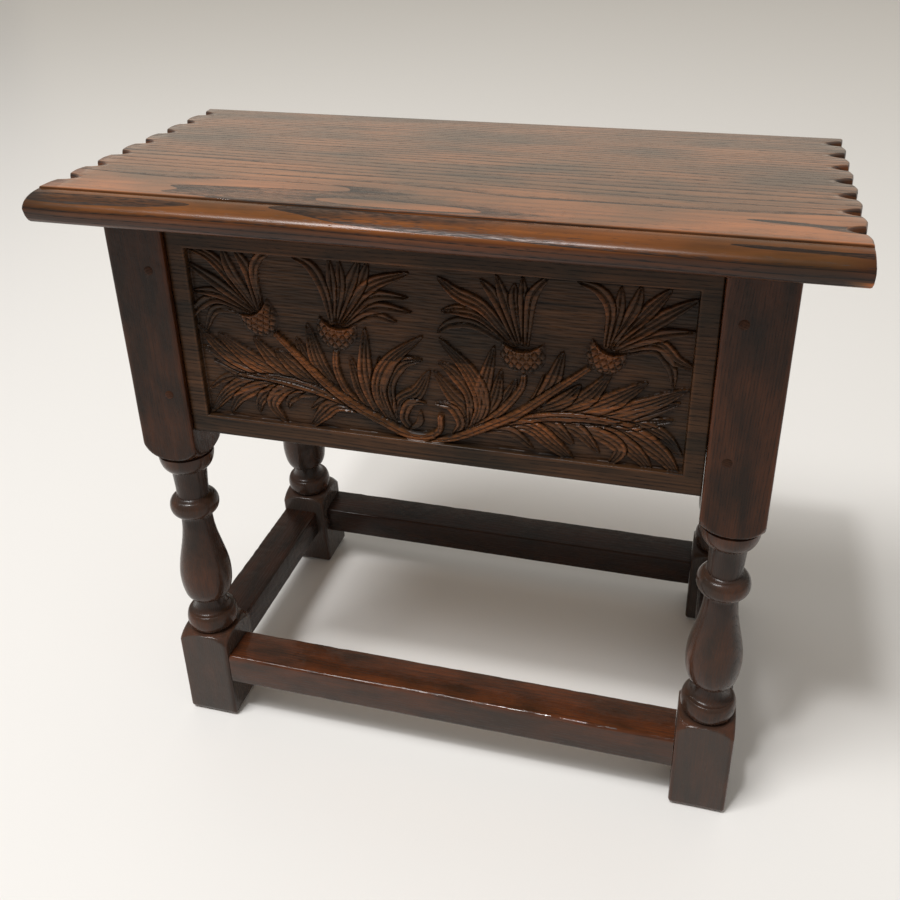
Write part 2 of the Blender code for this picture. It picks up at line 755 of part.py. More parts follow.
def recess_for_hinge(piece, name, x, up):
    """The shallow housing that a leaf and the knuckles lie in."""
    world = Matrix.Identity(4)
    half = HINGE_LENGTH / 2 + FIT_GAP
    z = sided(PIN_Z - up * OVERCUT, PIN_Z + up * (FIT_GAP / 2 + LEAF_THICKNESS + FIT_GAP))
    low = (x - half, PIN_Y - LEAF_WIDTH - FIT_GAP, z[0])
    high = (x + half, PIN_Y + OVERCUT, z[1])
    housing = block(f"{name}_housing", low, high, world)
    channel = rod(
        f"{name}_channel",
        KNUCKLE_RADIUS + KNUCKLE_GAP,
        (x - half, PIN_Y, PIN_Z),
        (x + half, PIN_Y, PIN_Z),
        KNUCKLE_SEGMENTS,
        world,
    )
    cut(piece, housing, channel)


def drive_screw(name, x, up, leaf, piece):
    """A countersunk screw through a leaf into the wood behind it."""
    face = PIN_Z + up * (FIT_GAP / 2 + SCREW_SUNK)
    point_up = Matrix.Rotation(math.pi, 4, "X") if up > 0 else Matrix.Identity(4)
    place = Matrix.Translation((x, PIN_Y - SCREW_FROM_PIN, face)) @ point_up
    screw = turned(name, screw_profile(), SCREW_SEGMENTS, place, BRASS)
    shade_round(screw)
    hole = turned(f"{name}_hole", screw_profile(FIT_GAP, LAP), SCREW_SEGMENTS, place)
    cut(leaf, hole)
    cut(piece, hole)
    return screw


def make_hinge(end, lid, back_board):
    """A butt hinge: one leaf on the back board's top edge, one under the lid, and their pin."""
    x = end * (HALF_INNER - HINGE_FROM_POST)
    name = f"{ACROSS[end]}_hinge"
    half = HINGE_LENGTH / 2
    even = range(0, KNUCKLE_COUNT, 2)
    odd = range(1, KNUCKLE_COUNT, 2)
    moving = []
    for kind, up, knuckles, wood in (("box", -1, even, back_board), ("lid", 1, odd, lid)):
        leaf = make_leaf(f"{name}_{kind}_leaf", x, up, knuckles)
        recess_for_hinge(wood, leaf.name, x, up)
        screws = [
            drive_screw(f"{name}_{kind}_{ACROSS[at]}_screw", x + at * SCREW_SPACING / 2, up, leaf, wood)
            for at in (LEFT, RIGHT)
        ]
        if kind == "lid":
            moving = [leaf, *screws]
    pin = rod(
        f"{name}_pin",
        PIN_RADIUS,
        (x - half, PIN_Y, PIN_Z),
        (x + half, PIN_Y, PIN_Z),
        KNUCKLE_SEGMENTS,
        Matrix.Identity(4),
        BRASS,
    )
    shade_round(pin)
    return moving


def hang_on_axis(pieces):
    """Gives the moving pieces one parent, which lies on the hinge pins' axis."""
    axis = bpy.data.objects.new("lid_hinge_axis", None)
    PARTS.objects.link(axis)
    axis.location = (0.0, PIN_Y, PIN_Z)
    for piece in pieces:
        piece.parent = axis
        piece.matrix_parent_inverse = Matrix.Translation(axis.location).inverted()


STOREY = block(
    "level_slab", (-ROOM, -ROOM, 0.0), (ROOM, ROOM, POST_TOP), Matrix.Identity(4)
)
LEGS = {(side, end): make_leg(side, end) for side in (FRONT, BACK) for end in (LEFT, RIGHT)}
FRONT_BOARD = make_long_board(FRONT, FRONT_SETBACK)
sink_field(FRONT_BOARD)
BACK_BOARD = make_long_board(BACK, BACK_SETBACK)
END_BOARDS = {end: make_end_board(end) for end in (LEFT, RIGHT)}
for side in (FRONT, BACK):
    make_long_stretcher(side)
for end in (LEFT, RIGHT):
    make_end_stretcher(end)
make_bottom()
LID = make_lid()
MOVING = [LID]
for end in (LEFT, RIGHT):
    MOVING += make_hinge(end, LID, BACK_BOARD)
hang_on_axis(MOVING)
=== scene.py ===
"""Looks of an oak box stool: turned legs, a front carved with thistles, and a lid with gouged ends.

Every piece is made in metres in the packed model's frame, front at -Y, and rides on one of its bodies.
"""

import math

import bmesh
import bpy
import numpy as np
from bpy.props import FloatProperty, FloatVectorProperty, IntProperty, PointerProperty
from mathutils import Matrix, Vector, noise


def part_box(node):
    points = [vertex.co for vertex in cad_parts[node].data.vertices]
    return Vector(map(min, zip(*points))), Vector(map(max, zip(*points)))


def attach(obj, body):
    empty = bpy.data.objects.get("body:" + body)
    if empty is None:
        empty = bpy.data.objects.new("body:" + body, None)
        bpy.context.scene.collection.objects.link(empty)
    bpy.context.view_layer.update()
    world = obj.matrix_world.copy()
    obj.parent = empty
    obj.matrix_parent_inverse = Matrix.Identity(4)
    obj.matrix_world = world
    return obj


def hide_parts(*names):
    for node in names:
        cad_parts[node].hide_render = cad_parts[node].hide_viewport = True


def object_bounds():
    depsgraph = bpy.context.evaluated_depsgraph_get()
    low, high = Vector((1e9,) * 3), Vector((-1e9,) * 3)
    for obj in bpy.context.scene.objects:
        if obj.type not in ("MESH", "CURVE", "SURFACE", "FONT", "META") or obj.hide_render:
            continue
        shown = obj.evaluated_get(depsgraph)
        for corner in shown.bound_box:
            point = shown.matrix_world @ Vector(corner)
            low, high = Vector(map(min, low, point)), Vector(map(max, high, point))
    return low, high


bl_info = {
    "name": "Box Stool",
    "version": (1, 0, 0),
    "blender": (4, 5, 0),
    "location": "View3D > Sidebar > Box Stool",
    "description": "Dresses the packed box stool with carved, turned and waxed oak",
    "category": "Add Mesh",
}

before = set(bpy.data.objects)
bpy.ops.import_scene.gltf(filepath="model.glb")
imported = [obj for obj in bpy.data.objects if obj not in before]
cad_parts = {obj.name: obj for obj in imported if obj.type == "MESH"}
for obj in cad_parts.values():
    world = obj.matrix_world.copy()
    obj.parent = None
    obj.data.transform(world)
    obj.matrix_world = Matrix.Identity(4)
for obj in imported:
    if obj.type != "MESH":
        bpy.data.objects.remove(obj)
CAD_LOW, CAD_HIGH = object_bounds()

MM = 0.001
STOOL, LID = "stool", "lid"
FRONT, BACK = -1, 1
LEFT, RIGHT = -1, 1
ALONG = {FRONT: "front", BACK: "back"}
ACROSS = {LEFT: "left", RIGHT: "right"}

# Places read from the frame
LEG_LOW, LEG_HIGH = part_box("front_left_leg")
LID_LOW, LID_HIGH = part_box("lid")
FRONT_Y = LEG_LOW.y
BACK_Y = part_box("back_left_leg")[1].y
CENTRE_Y = (FRONT_Y + BACK_Y) / 2
FOOT_DEPTH = BACK_Y - FRONT_Y
HALF_LENGTH = -LEG_LOW.x
LEG = LEG_HIGH.x - LEG_LOW.x
HALF_INNER = HALF_LENGTH - LEG
POST_TOP = LEG_HIGH.z
BOARD_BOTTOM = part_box("left_end_board")[0].z


def linear(hex_colour):
    """An sRGB hex colour as linear RGB."""
    channels = [int(hex_colour[i:i + 2], 16) / 255 for i in (1, 3, 5)]
    return tuple(c / 12.92 if c <= 0.04045 else ((c + 0.055) / 1.055) ** 2.4 for c in channels)


# Settings


def length(name, description, mm, **limits):
    """A length that can be set, given in millimetres and kept in metres."""
    return FloatProperty(name=name, description=description, default=mm * MM, unit="LENGTH", **limits)


def hue(name, description, hex_colour):
    """A colour that can be set."""
    colour = linear(hex_colour)
    return FloatVectorProperty(name=name, description=description, default=colour, subtype="COLOR")


def watts(name, description, default):
    """A light's power that can be set."""
    return FloatProperty(name=name, description=description, default=default, subtype="POWER")


class LegSettings(bpy.types.PropertyGroup):
    """Sizes of the four legs that a turner would choose."""

    rake: FloatProperty(
        name="Rake", description="How far the legs lean in, front and back", default=math.radians(2.5),
        subtype="ANGLE",
    )
    arris: length("Worn arris", "Rounding of the square parts' edges", 2.2)
    foot_wear: length("Foot wear", "Rounding round the sole of each foot", 5.0)
    segments: IntProperty(name="Segments", description="Facets round each turning", default=80, min=24)
    unevenness: length("Unevenness", "Depth of the hand-worked waviness", 0.25)


class LidSettings(bpy.types.PropertyGroup):
    """Sizes of the lid's moulding and of the gouge cuts along its ends."""

    quirk_width: length("Moulding width", "From the nose back to the quirk", 19.5)
    quirk_step: length("Quirk depth", "Step down from the top to the moulding", 1.8)
    nose_rise: length("Nose height", "Height of the nose above the underside", 10.0)
    undercut: length("Undercut", "How far the moulding rolls back under the nose", 5.0)
    notch_count: IntProperty(name="Gouge cuts", description="Cuts along each end", default=7, min=1)
    notch_pitch: length("Cut spacing", "Distance between the cuts", 30.6)
    notch_first: length("First cut", "From the nose to the first cut", 42.0)
    notch_radius: length("Gouge radius", "Sweep of the gouge", 7.0)
    notch_depth: length("Cut depth", "Depth of a cut on the top face", 8.0)
    land_round: length("Land rounding", "How far the edge between two cuts is rounded off", 4.6)
    arris: length("Worn arris", "Rounding of the lid's edges", 1.3)


class CarvingSettings(bpy.types.PropertyGroup):
    """Sizes of the front board's sunk and carved field."""

    setback: length("Setback", "Board face behind the posts' faces", 4.0)
    thickness: length("Thickness", "Thickness of the front board", 16.0)
    depth: length("Ground depth", "Depth of the sunk ground", 4.5)
    side_margin: length("Side margin", "Plain margin at each end", 13.0)
    bottom_margin: length("Bottom margin", "Plain margin along the bottom", 14.0)
    top_margin: length("Top margin", "Plain margin along the top", 22.0)
    grid: length("Detail", "Spacing of the carved surface's points", 0.5, min=0.3 * MM)


class FinishSettings(bpy.types.PropertyGroup):
    """Colours of the stool's finishes."""

    lid_dark: hue("Lid grain", "Stain that lies in the lid's grain", "#22150c")
    lid_pale: hue("Lid", "Waxed oak between the lid's grain", "#82542b")
    frame_dark: hue("Frame grain", "Stain in the frame's grain", "#29170c")
    frame_pale: hue("Frame", "Waxed oak of legs, boards and stretchers", "#3a2111")
    carved_dark: hue("Carved grain", "Stain in the carved board's grain", "#1d1207")
    carved_pale: hue("Carved board", "Waxed oak of the carved board", "#45301f")
    pine_dark: hue("Pine grain", "Grain of the box's bottom", "#8a6238")
    pine_pale: hue("Pine", "Bare pine of the box's bottom", "#bf9a68")


class StageSettings(bpy.types.PropertyGroup):
    """Strengths of the studio's lights."""

    key_power: watts("Key light", "Power of the large light overhead", 108.0)
    spark_power: watts("Spark", "Power of the small light overhead, which glints on rings and edges", 38.0)
    rear_power: watts("Rear light", "Power of the wide light behind, which shines on the lid", 43.0)
    room: FloatProperty(name="Room light", description="Strength of the even light", default=0.43)


# Materials


def add_node(tree, kind, inputs=None, stops=None, **settings):
    """Adds a node, sets its settings and ramp stops, and sets or links its inputs."""
    made = tree.nodes.new(kind)
    for name, value in settings.items():
        setattr(made, name, value)
    for name, value in (inputs or {}).items():
        if isinstance(value, bpy.types.NodeSocket):
            tree.links.new(value, made.inputs[name])
        else:
            made.inputs[name].default_value = value
    for index, (position, colour) in enumerate(stops or ()):
        elements = made.color_ramp.elements
        stop = elements[index] if index < len(elements) else elements.new(position)
        stop.position, stop.color = position, (*colour, 1.0)
    return made


def grey(level):
    """A grey as RGB."""
    return (level, level, level)


def between(first, second, share):
    """The colour a share of the way from the first to the second."""
    return tuple(a + (b - a) * share for a, b in zip(first, second))


def stretch(axis, along_mm, across_mm):
    """Texture scale for features this long along the grain and this wide across it."""
    scale = [1000 / across_mm] * 3
    scale["XYZ".index(axis)] = 1000 / along_mm
    return scale


def new_material(name):
    """A material, its node tree, its shader and the object's own coordinates in metres."""
    material = bpy.data.materials.new(name)
    material.use_nodes = True
    tree = material.node_tree
    place = add_node(tree, "ShaderNodeTexCoord").outputs["Object"]
    return material, tree, tree.nodes["Principled BSDF"], place


def wood(name, axis, pith, dark, pale, roughness, ring_mm, tilt=0.0, lines=0.3, pore=0.5, wax=0.15,
         dents=0.0, painted_light_and_wear=False):
    """Sawn and planed wood.

    To the eye that is a dark line for each year's ring, short open pores, slow changes of tone and, where
    it is waxed, a soft shine that dirt dulls wherever no hand rubs it. Real pores are about 0.3 mm wide;
    they are drawn 0.6 mm wide so that they show. Dents, in mm, break up the shine where an edge tool left
    the surface uneven. With painted_light_and_wear, the wood takes its colour from the points'
    "wear_and_painted_light" and "dust_and_painted_sheen" values, which hold wear and dust but also
    painted shade, painted highlight and painted sheen.
    """
    material, tree, shader, place = new_material(name)
    tint = {"data_type": "RGBA", "blend_type": "MULTIPLY"}
    drift_mm, sway, dent_mm = (190, 24), 8 * MM, 7
    drawn = add_node(tree, "ShaderNodeMapping", {"Vector": place, "Scale": stretch(axis, *drift_mm)})
    drift = add_node(tree, "ShaderNodeTexNoise",
                     {"Vector": drawn.outputs[0], "Scale": 1.0, "Detail": 1.0}).outputs["Color"]
    aside = add_node(tree, "ShaderNodeVectorMath", {0: drift, 1: grey(0.5)}, operation="SUBTRACT").outputs[0]
    bent = add_node(tree, "ShaderNodeVectorMath", {0: aside, 1: grey(sway), 2: place},
                    operation="MULTIPLY_ADD").outputs[0]

    # A wave texture draws one ring every 0.314 units
    heart = add_node(tree, "ShaderNodeMapping", {"Vector": bent, "Location": pith, "Rotation": (0, tilt, 0)},
                     vector_type="TEXTURE").outputs[0]
    rings = add_node(tree, "ShaderNodeTexWave", {"Vector": heart, "Scale": 314 / ring_mm},
                     wave_type="RINGS", rings_direction=axis, wave_profile="SAW").outputs["Fac"]

    # Each kind of mark: its length along the grain and width across it in mm, and its detail
    marks = {}
    for kind, where, along_mm, across_mm, detail in (
        ("streak", bent, 50 * ring_mm, ring_mm, 4.0),
        ("fine", bent, 8, 0.6, 1.0),
        ("patch", place, 26 * ring_mm, 9 * ring_mm, 5.0),
    ):
        scale = stretch(axis, along_mm, across_mm)
        drawn = add_node(tree, "ShaderNodeMapping", {"Vector": where, "Scale": scale})
        marks[kind] = add_node(tree, "ShaderNodeTexNoise",
                               {"Vector": drawn.outputs[0], "Scale": 1.0, "Detail": detail}).outputs["Fac"]
    streak, fine, patch = marks.values()

    early = add_node(tree, "ShaderNodeValToRGB", {"Fac": rings},
                     [(0.0, grey(0.1)), (0.14, grey(0.35)), (0.34, grey(0.8)), (0.75, grey(1.0))])
    early = early.outputs["Color"]
    blend = add_node(tree, "ShaderNodeMix", {"Factor": 1 - lines, "A": early, "B": streak}).outputs[0]
    tone = add_node(tree, "ShaderNodeValToRGB", {"Fac": blend},
                    [(0.28, dark), (0.48, between(dark, pale, 0.5)), (0.68, pale)]).outputs["Color"]
    slow = add_node(tree, "ShaderNodeValToRGB", {"Fac": patch},
                    [(0.34, (0.50, 0.54, 0.52)), (0.66, (1.50, 1.27, 1.06))]).outputs["Color"]
    colour = add_node(tree, "ShaderNodeMix", {"Factor": 1.0, "A": tone, "B": slow},
                      **tint).outputs["Result"]
    pit = add_node(tree, "ShaderNodeMath", {0: early, 1: 0.30, 2: fine}, operation="MULTIPLY_ADD").outputs[0]
    pores = add_node(tree, "ShaderNodeValToRGB", {"Fac": pit},
                     [(0.50, grey(0.0)), (0.64, grey(1.0))]).outputs["Color"]
    colour = add_node(tree, "ShaderNodeMix", {"Factor": pore, "A": colour, "B": pores},
                      **tint).outputs["Result"]

    closed = add_node(tree, "ShaderNodeMath", {0: pores, 1: blend}, operation="MULTIPLY").outputs[0]
    gloss = add_node(tree, "ShaderNodeMath", {0: closed, 1: -0.42, 2: roughness + 0.30},
                     operation="MULTIPLY_ADD").outputs[0]
    if painted_light_and_wear:
        wear_and_light_share = add_node(tree, "ShaderNodeAttribute", attribute_name="wear_and_painted_light").outputs["Fac"]
        # The share becomes colour: darker for dirt and painted shade, lighter for wear and painted highlight
        wear_and_light_tone = add_node(tree, "ShaderNodeValToRGB", {"Fac": wear_and_light_share},
                           [(0.0, (0.30, 0.24, 0.20)), (0.5, grey(1.0)), (1.0, (2.6, 1.95, 1.4))])
        colour = add_node(tree, "ShaderNodeMix", {"Factor": 1.0, "A": colour, "B": wear_and_light_tone.outputs["Color"]},
                          **tint).outputs["Result"]
        # A grey laid over the colour: dust, and painted sheen on the lid's top and the feet
        dust_and_painted_sheen = add_node(tree, "ShaderNodeAttribute", attribute_name="dust_and_painted_sheen").outputs["Fac"]
        dust_and_sheen_grey = (*linear("#5f5a56"), 1.0)
        colour = add_node(tree, "ShaderNodeMix", {"Factor": dust_and_painted_sheen, "A": colour, "B": dust_and_sheen_grey},
                          data_type="RGBA").outputs["Result"]
        gloss = add_node(tree, "ShaderNodeMath", {0: wear_and_light_share, 1: -0.27, 2: gloss},
                         operation="MULTIPLY_ADD").outputs[0]
    ridge = add_node(tree, "ShaderNodeMix", {"Factor": 0.5, "A": streak, "B": pores}).outputs[0]
    bump = add_node(tree, "ShaderNodeBump", {"Height": ridge, "Strength": 0.35, "Distance": 0.2 * MM})
    if dents:
        tooled = add_node(tree, "ShaderNodeTexNoise",
                          {"Vector": place, "Scale": 1000 / dent_mm, "Detail": 1.0})
        bump = add_node(tree, "ShaderNodeBump", {"Height": tooled.outputs["Fac"], "Strength": 1.0,
                                                 "Distance": dents * MM, "Normal": bump.outputs[0]})
    tree.links.new(colour, shader.inputs["Base Color"])
    tree.links.new(gloss, shader.inputs["Roughness"])
    tree.links.new(bump.outputs[0], shader.inputs["Normal"])
    shader.inputs["IOR"].default_value = 1.5
    shader.inputs["Specular IOR Level"].default_value = wax
    return material


def brass(name):
    """Dulled brass, rolled and handled: a soft yellow metal, browner where it is seldom touched."""
    material, tree, shader, place = new_material(name)
    spot_mm = 9
    spots = add_node(tree, "ShaderNodeTexNoise", {"Vector": place, "Scale": 1000 / spot_mm, "Detail": 4.0})
    stain = spots.outputs["Fac"]
    tone = add_node(tree, "ShaderNodeValToRGB", {"Fac": stain},
                    [(0.35, linear("#6a5128")), (0.65, linear("#a98b4c"))])
    rub = add_node(tree, "ShaderNodeValToRGB", {"Fac": stain}, [(0.35, grey(0.55)), (0.65, grey(0.32))])
    tree.links.new(tone.outputs["Color"], shader.inputs["Base Color"])
    tree.links.new(rub.outputs["Color"], shader.inputs["Roughness"])
    shader.inputs["Metallic"].default_value = 1.0
    return material


def iron(name):
    """Drawn iron wire, dull with a little brown: dark grey metal with soft mottling."""
    material, tree, shader, place = new_material(name)
    fleck_mm = 1.5
    mottle = add_node(tree, "ShaderNodeTexNoise", {"Vector": place, "Scale": 1000 / fleck_mm, "Detail": 3.0})
    tone = add_node(tree, "ShaderNodeValToRGB", {"Fac": mottle.outputs["Fac"]},
                    [(0.35, linear("#3a332e")), (0.65, linear("#66625d"))])
    tree.links.new(tone.outputs["Color"], shader.inputs["Base Color"])
    shader.inputs["Metallic"].default_value = 1.0
    shader.inputs["Roughness"].default_value = 0.5
    return material


# The heart of the log that each direction of grain was sawn from
PITH = {"X": (0.0, 0.03, -0.12), "Y": (0.02, 0.0, -0.15), "Z": (0.03, 0.02, 0.0)}


def finish(name):
    """The material of a finish, made the first time that it is asked for."""
    if name in bpy.data.materials:
        return bpy.data.materials[name]
    colours = bpy.context.scene.stool_finish
    axis = name[-1].upper()
    if name == "lid_oak_x":
        # Waxed oak, handled for years: bold grain and orange where hands rub it, grey as painted sheen at the
        # back and ends of the top, and painted shade in the cuts, the quirk and the nose's ends. Rings of 2
        # mm would blur together at the back of the lid, so they are drawn 3.8 mm apart.
        lid_pith, lid_tilt = (0.0, -0.094, 0.3455), math.radians(0.6)
        return wood(name, "X", lid_pith, colours.lid_dark, colours.lid_pale, 0.25, 3.8, tilt=lid_tilt,
                    pore=0.75, wax=0.29, painted_light_and_wear=True)
    if name == "carved_oak":
        # Stained oak with old wax: nearly black in the cuts, darkened there with dirt and painted shade, and
        # brown on the leaves, lighter on their crests as painted highlight
        return wood(name, "X", PITH["X"], colours.carved_dark, colours.carved_pale, 0.36, 2.6, lines=0.12,
                    pore=0.6, wax=0.17, painted_light_and_wear=True)
    if name.startswith("dark_oak"):
        # Stained oak polished by wear: dark, close-grained, with glints on the rings and arrises; painted
        # shade in the turnings' hollows and on the back legs and stretchers, and a grey on the feet that is
        # dust and painted sheen
        return wood(name, axis, PITH[axis], colours.frame_dark, colours.frame_pale, 0.21, 1.5, lines=0.15,
                    wax=0.22, dents=0.25, painted_light_and_wear=True)
    if name.startswith("board_oak"):
        # Stained oak that is seldom touched: dark and dull
        return wood(name, axis, PITH[axis], colours.frame_dark, colours.frame_pale, 0.40, 2.0)
    if name == "peg_oak_y":
        # Cleft oak pegs, stained with the frame: dark and dull on their end grain
        return wood(name, axis, PITH[axis], colours.frame_dark, colours.frame_pale, 0.45, 1.6)
    if name.startswith("bare_pine"):
        # Bare pine: pale and matt, with wide soft rings and hardly a pore
        return wood(name, axis, PITH[axis], colours.pine_dark, colours.pine_pale, 0.62, 6.0, lines=0.5,
                    pore=0.12)
    if name == "hinge_brass":
        return brass(name)
    if name == "nail_iron":
        return iron(name)
    raise ValueError(f"no finish is called {name}")


# Shared shapes


def frame_matrix(side):
    """The raked plane of the front or back legs: Y 0 on their outer faces, Z up the leg."""
    rake = bpy.context.scene.stool_legs.rake
    foot = Matrix.Translation((0.0, FRONT_Y if side == FRONT else BACK_Y, 0.0))
    return foot @ Matrix.Rotation(rake * side, 4, "X")


def inner_half_depth(z):
    """Half the clear depth between the front and back legs' inner faces at height z."""
    rake = bpy.context.scene.stool_legs.rake
    return FOOT_DEPTH / 2 - (LEG + z * math.sin(rake)) / math.cos(rake)


def dress(obj, body, material, node):
    """Gives a made piece its material and body, and hides the CAD node that it stands for."""
    obj.data.materials.clear()
    obj.data.materials.append(finish(material))
    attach(obj, body)
    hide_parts(node)


def keep(node, material, arris=0.0):
    """Keeps a CAD node, with its own finish and, where it shows, eased edges."""
    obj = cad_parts[node]
    obj.data.materials.clear()
    obj.data.materials.append(finish(material))
    if arris:
        weld = obj.modifiers.new("weld", "WELD")
        weld.merge_threshold = 0.01 * MM
        ease = obj.modifiers.new("ease", "BEVEL")
        ease.width = arris
        ease.segments = 3
        ease.limit_method = "ANGLE"
        ease.angle_limit = math.radians(40)
        ease.harden_normals = True


def set_wear(obj, name, values):
    """Stores a share for each point: "wear_and_painted_light", from 0 dark (dirt, painted shade) over 0.5
    usual to 1 bright (wear, painted highlight), or "dust_and_painted_sheen".
    """
    layer = obj.data.attributes.new(name, "FLOAT", "POINT")
    layer.data.foreach_set("value", np.asarray(values, np.float32))


def new_object(name, data):
    """An object in the scene that shows this mesh, light or camera."""
    obj = bpy.data.objects.new(name, data)
    bpy.context.scene.collection.objects.link(obj)
    return obj


def new_piece(name, vertices, faces, smooth_angle):
    """A mesh object from points and faces, shaded smooth between its sharper edges."""
    mesh = bpy.data.meshes.new(name)
    mesh.from_pydata(vertices, [], faces)
    obj = new_object(name, mesh)
    bm = bmesh.new()
    bm.from_mesh(mesh)
    bmesh.ops.recalc_face_normals(bm, faces=bm.faces)
    bm.to_mesh(mesh)
    bm.free()
    mesh.shade_smooth()
    mesh.set_sharp_from_angle(angle=math.radians(smooth_angle))
    return obj


def loft(rings):
    """Vertices and faces of rings of equal length, joined one to the next and closed at both ends."""
    count = len(rings[0])
    vertices = [point for ring in rings for point in ring]
    faces = []
    for row in range(len(rings) - 1):
        low, high = row * count, (row + 1) * count
        for step in range(count):
            after = (step + 1) % count
            faces.append((low + step, low + after, high + after, high + step))
    last = (len(rings) - 1) * count
    faces.append(tuple(range(count))[::-1])
    faces.append(tuple(range(last, last + count)))
    return vertices, faces


# Legs


def quarter(start, end, swell, count=10):
    """Points of a quarter ellipse between two (radius, height) points."""
    points = []
    for step in range(count + 1):
        turn = math.pi / 2 * step / count
        across, up = math.sin(turn), 1 - math.cos(turn)
        if not swell:
            across, up = 1 - math.cos(turn), math.sin(turn)
        points.append((start[0] + (end[0] - start[0]) * across, start[1] + (end[1] - start[1]) * up))
    return points


def half_round(bottom, top, seat, radius, count=18):
    """Points of a ring that stands out from its seat."""
    middle, half = (top + bottom) / 2, (top - bottom) / 2
    turns = [math.pi * step / count for step in range(count + 1)]
    return [(seat + (radius - seat) * math.sin(turn), middle - half * math.cos(turn)) for turn in turns]


def vase(count=26):
    """Points of the baluster's vase, from its foot over the belly and up the hollow neck, in mm."""
    foot, belly, top = 113.0, 134.5, 191.5
    foot_radius, radius, neck = 14.0, 20.2, 12.0
    points = []
    for step in range(count // 2 + 1):
        turn = math.pi / 2 * (1 - step / (count // 2))
        points.append((foot_radius + (radius - foot_radius) * math.cos(turn),
                       belly + (foot - belly) * math.sin(turn)))
    for step in range(1, count + 1):
        share = 1 - step / count
        swell = (1 - math.cos(math.pi * share ** 1.15)) / 2
        points.append((neck + (radius - neck) * swell, top + (belly - top) * share))
    return points


def leg_profile():
    """What the lathe leaves of a leg, as (radius, height) in mm from the floor up."""
    clear, corner, seat, reel, neck = 60.0, 31.0, 17.2, 12.2, 12.9
    foot_levels = (0.0, 0.3, 1.0, 2.0, 3.0, 4.0, 5.0, 12.0, 24.0, 36.0, 48.0, 60.0, 67.0)
    foot_top, lower_ring, reel_bottom, reel_top = 68.0, (84.0, 99.5), 108.5, 112.6
    upper_ring, cup_bottom, cup_top, cup = (194.0, 209.5), 235.0, 249.0, 20.6
    post_bottom, post_corner, fillet = 251.5, 276.0, 18.6
    post_levels = (277.0, 290.0, 320.0, 355.0, 390.0, 420.0, POST_TOP / MM)

    profile = [(clear, height) for height in foot_levels]
    profile += quarter((corner, foot_top), (seat, 83.5), False, 18)
    profile += half_round(*lower_ring, seat, 20.3)
    profile += quarter((seat, 99.8), (reel, reel_bottom), True)
    profile += [(reel, 110.0), (reel, reel_top)]
    profile += vase()
    profile += half_round(*upper_ring, 13.5, 18.8)
    profile += [(neck - 0.5, 210.5), (neck - 0.5, 218.0), (neck, 226.0), (neck + 0.5, 234.5)]
    profile += quarter((neck + 0.7, cup_bottom), (cup, cup_top), True)
    profile += [(cup, 249.4), (fillet, 249.7), (fillet, 251.2)]
    profile += quarter((19.0, post_bottom), (corner, post_corner), True, 18)
    profile += [(clear, height) for height in post_levels]
    return [(radius * MM, height * MM) for radius, height in profile]


def square_radius(angle, half, arris):
    """Distance from the middle of a square, with rounded corners, to its edge at an angle."""
    turn = (angle + math.pi / 4) % (math.pi / 2) - math.pi / 4
    if half * math.tan(abs(turn)) <= half - arris:
        return half / math.cos(turn)
    centre = (half - arris) * math.sqrt(2)
    off = abs(turn) - math.pi / 4
    return centre * math.cos(off) + math.sqrt(max(arris ** 2 - (centre * math.sin(off)) ** 2, 0.0))


def leg_angles(segments):
    """Angles round a leg, closer together at the square's corners."""
    per_corner = segments // 4
    angles = []
    for corner in range(4):
        for step in range(per_corner):
            share = step / per_corner * 2 - 1
            eased = math.copysign(abs(share) ** 1.7, share)
            angles.append((corner + 0.5 + 0.5 * eased) * math.pi / 2)
    return angles


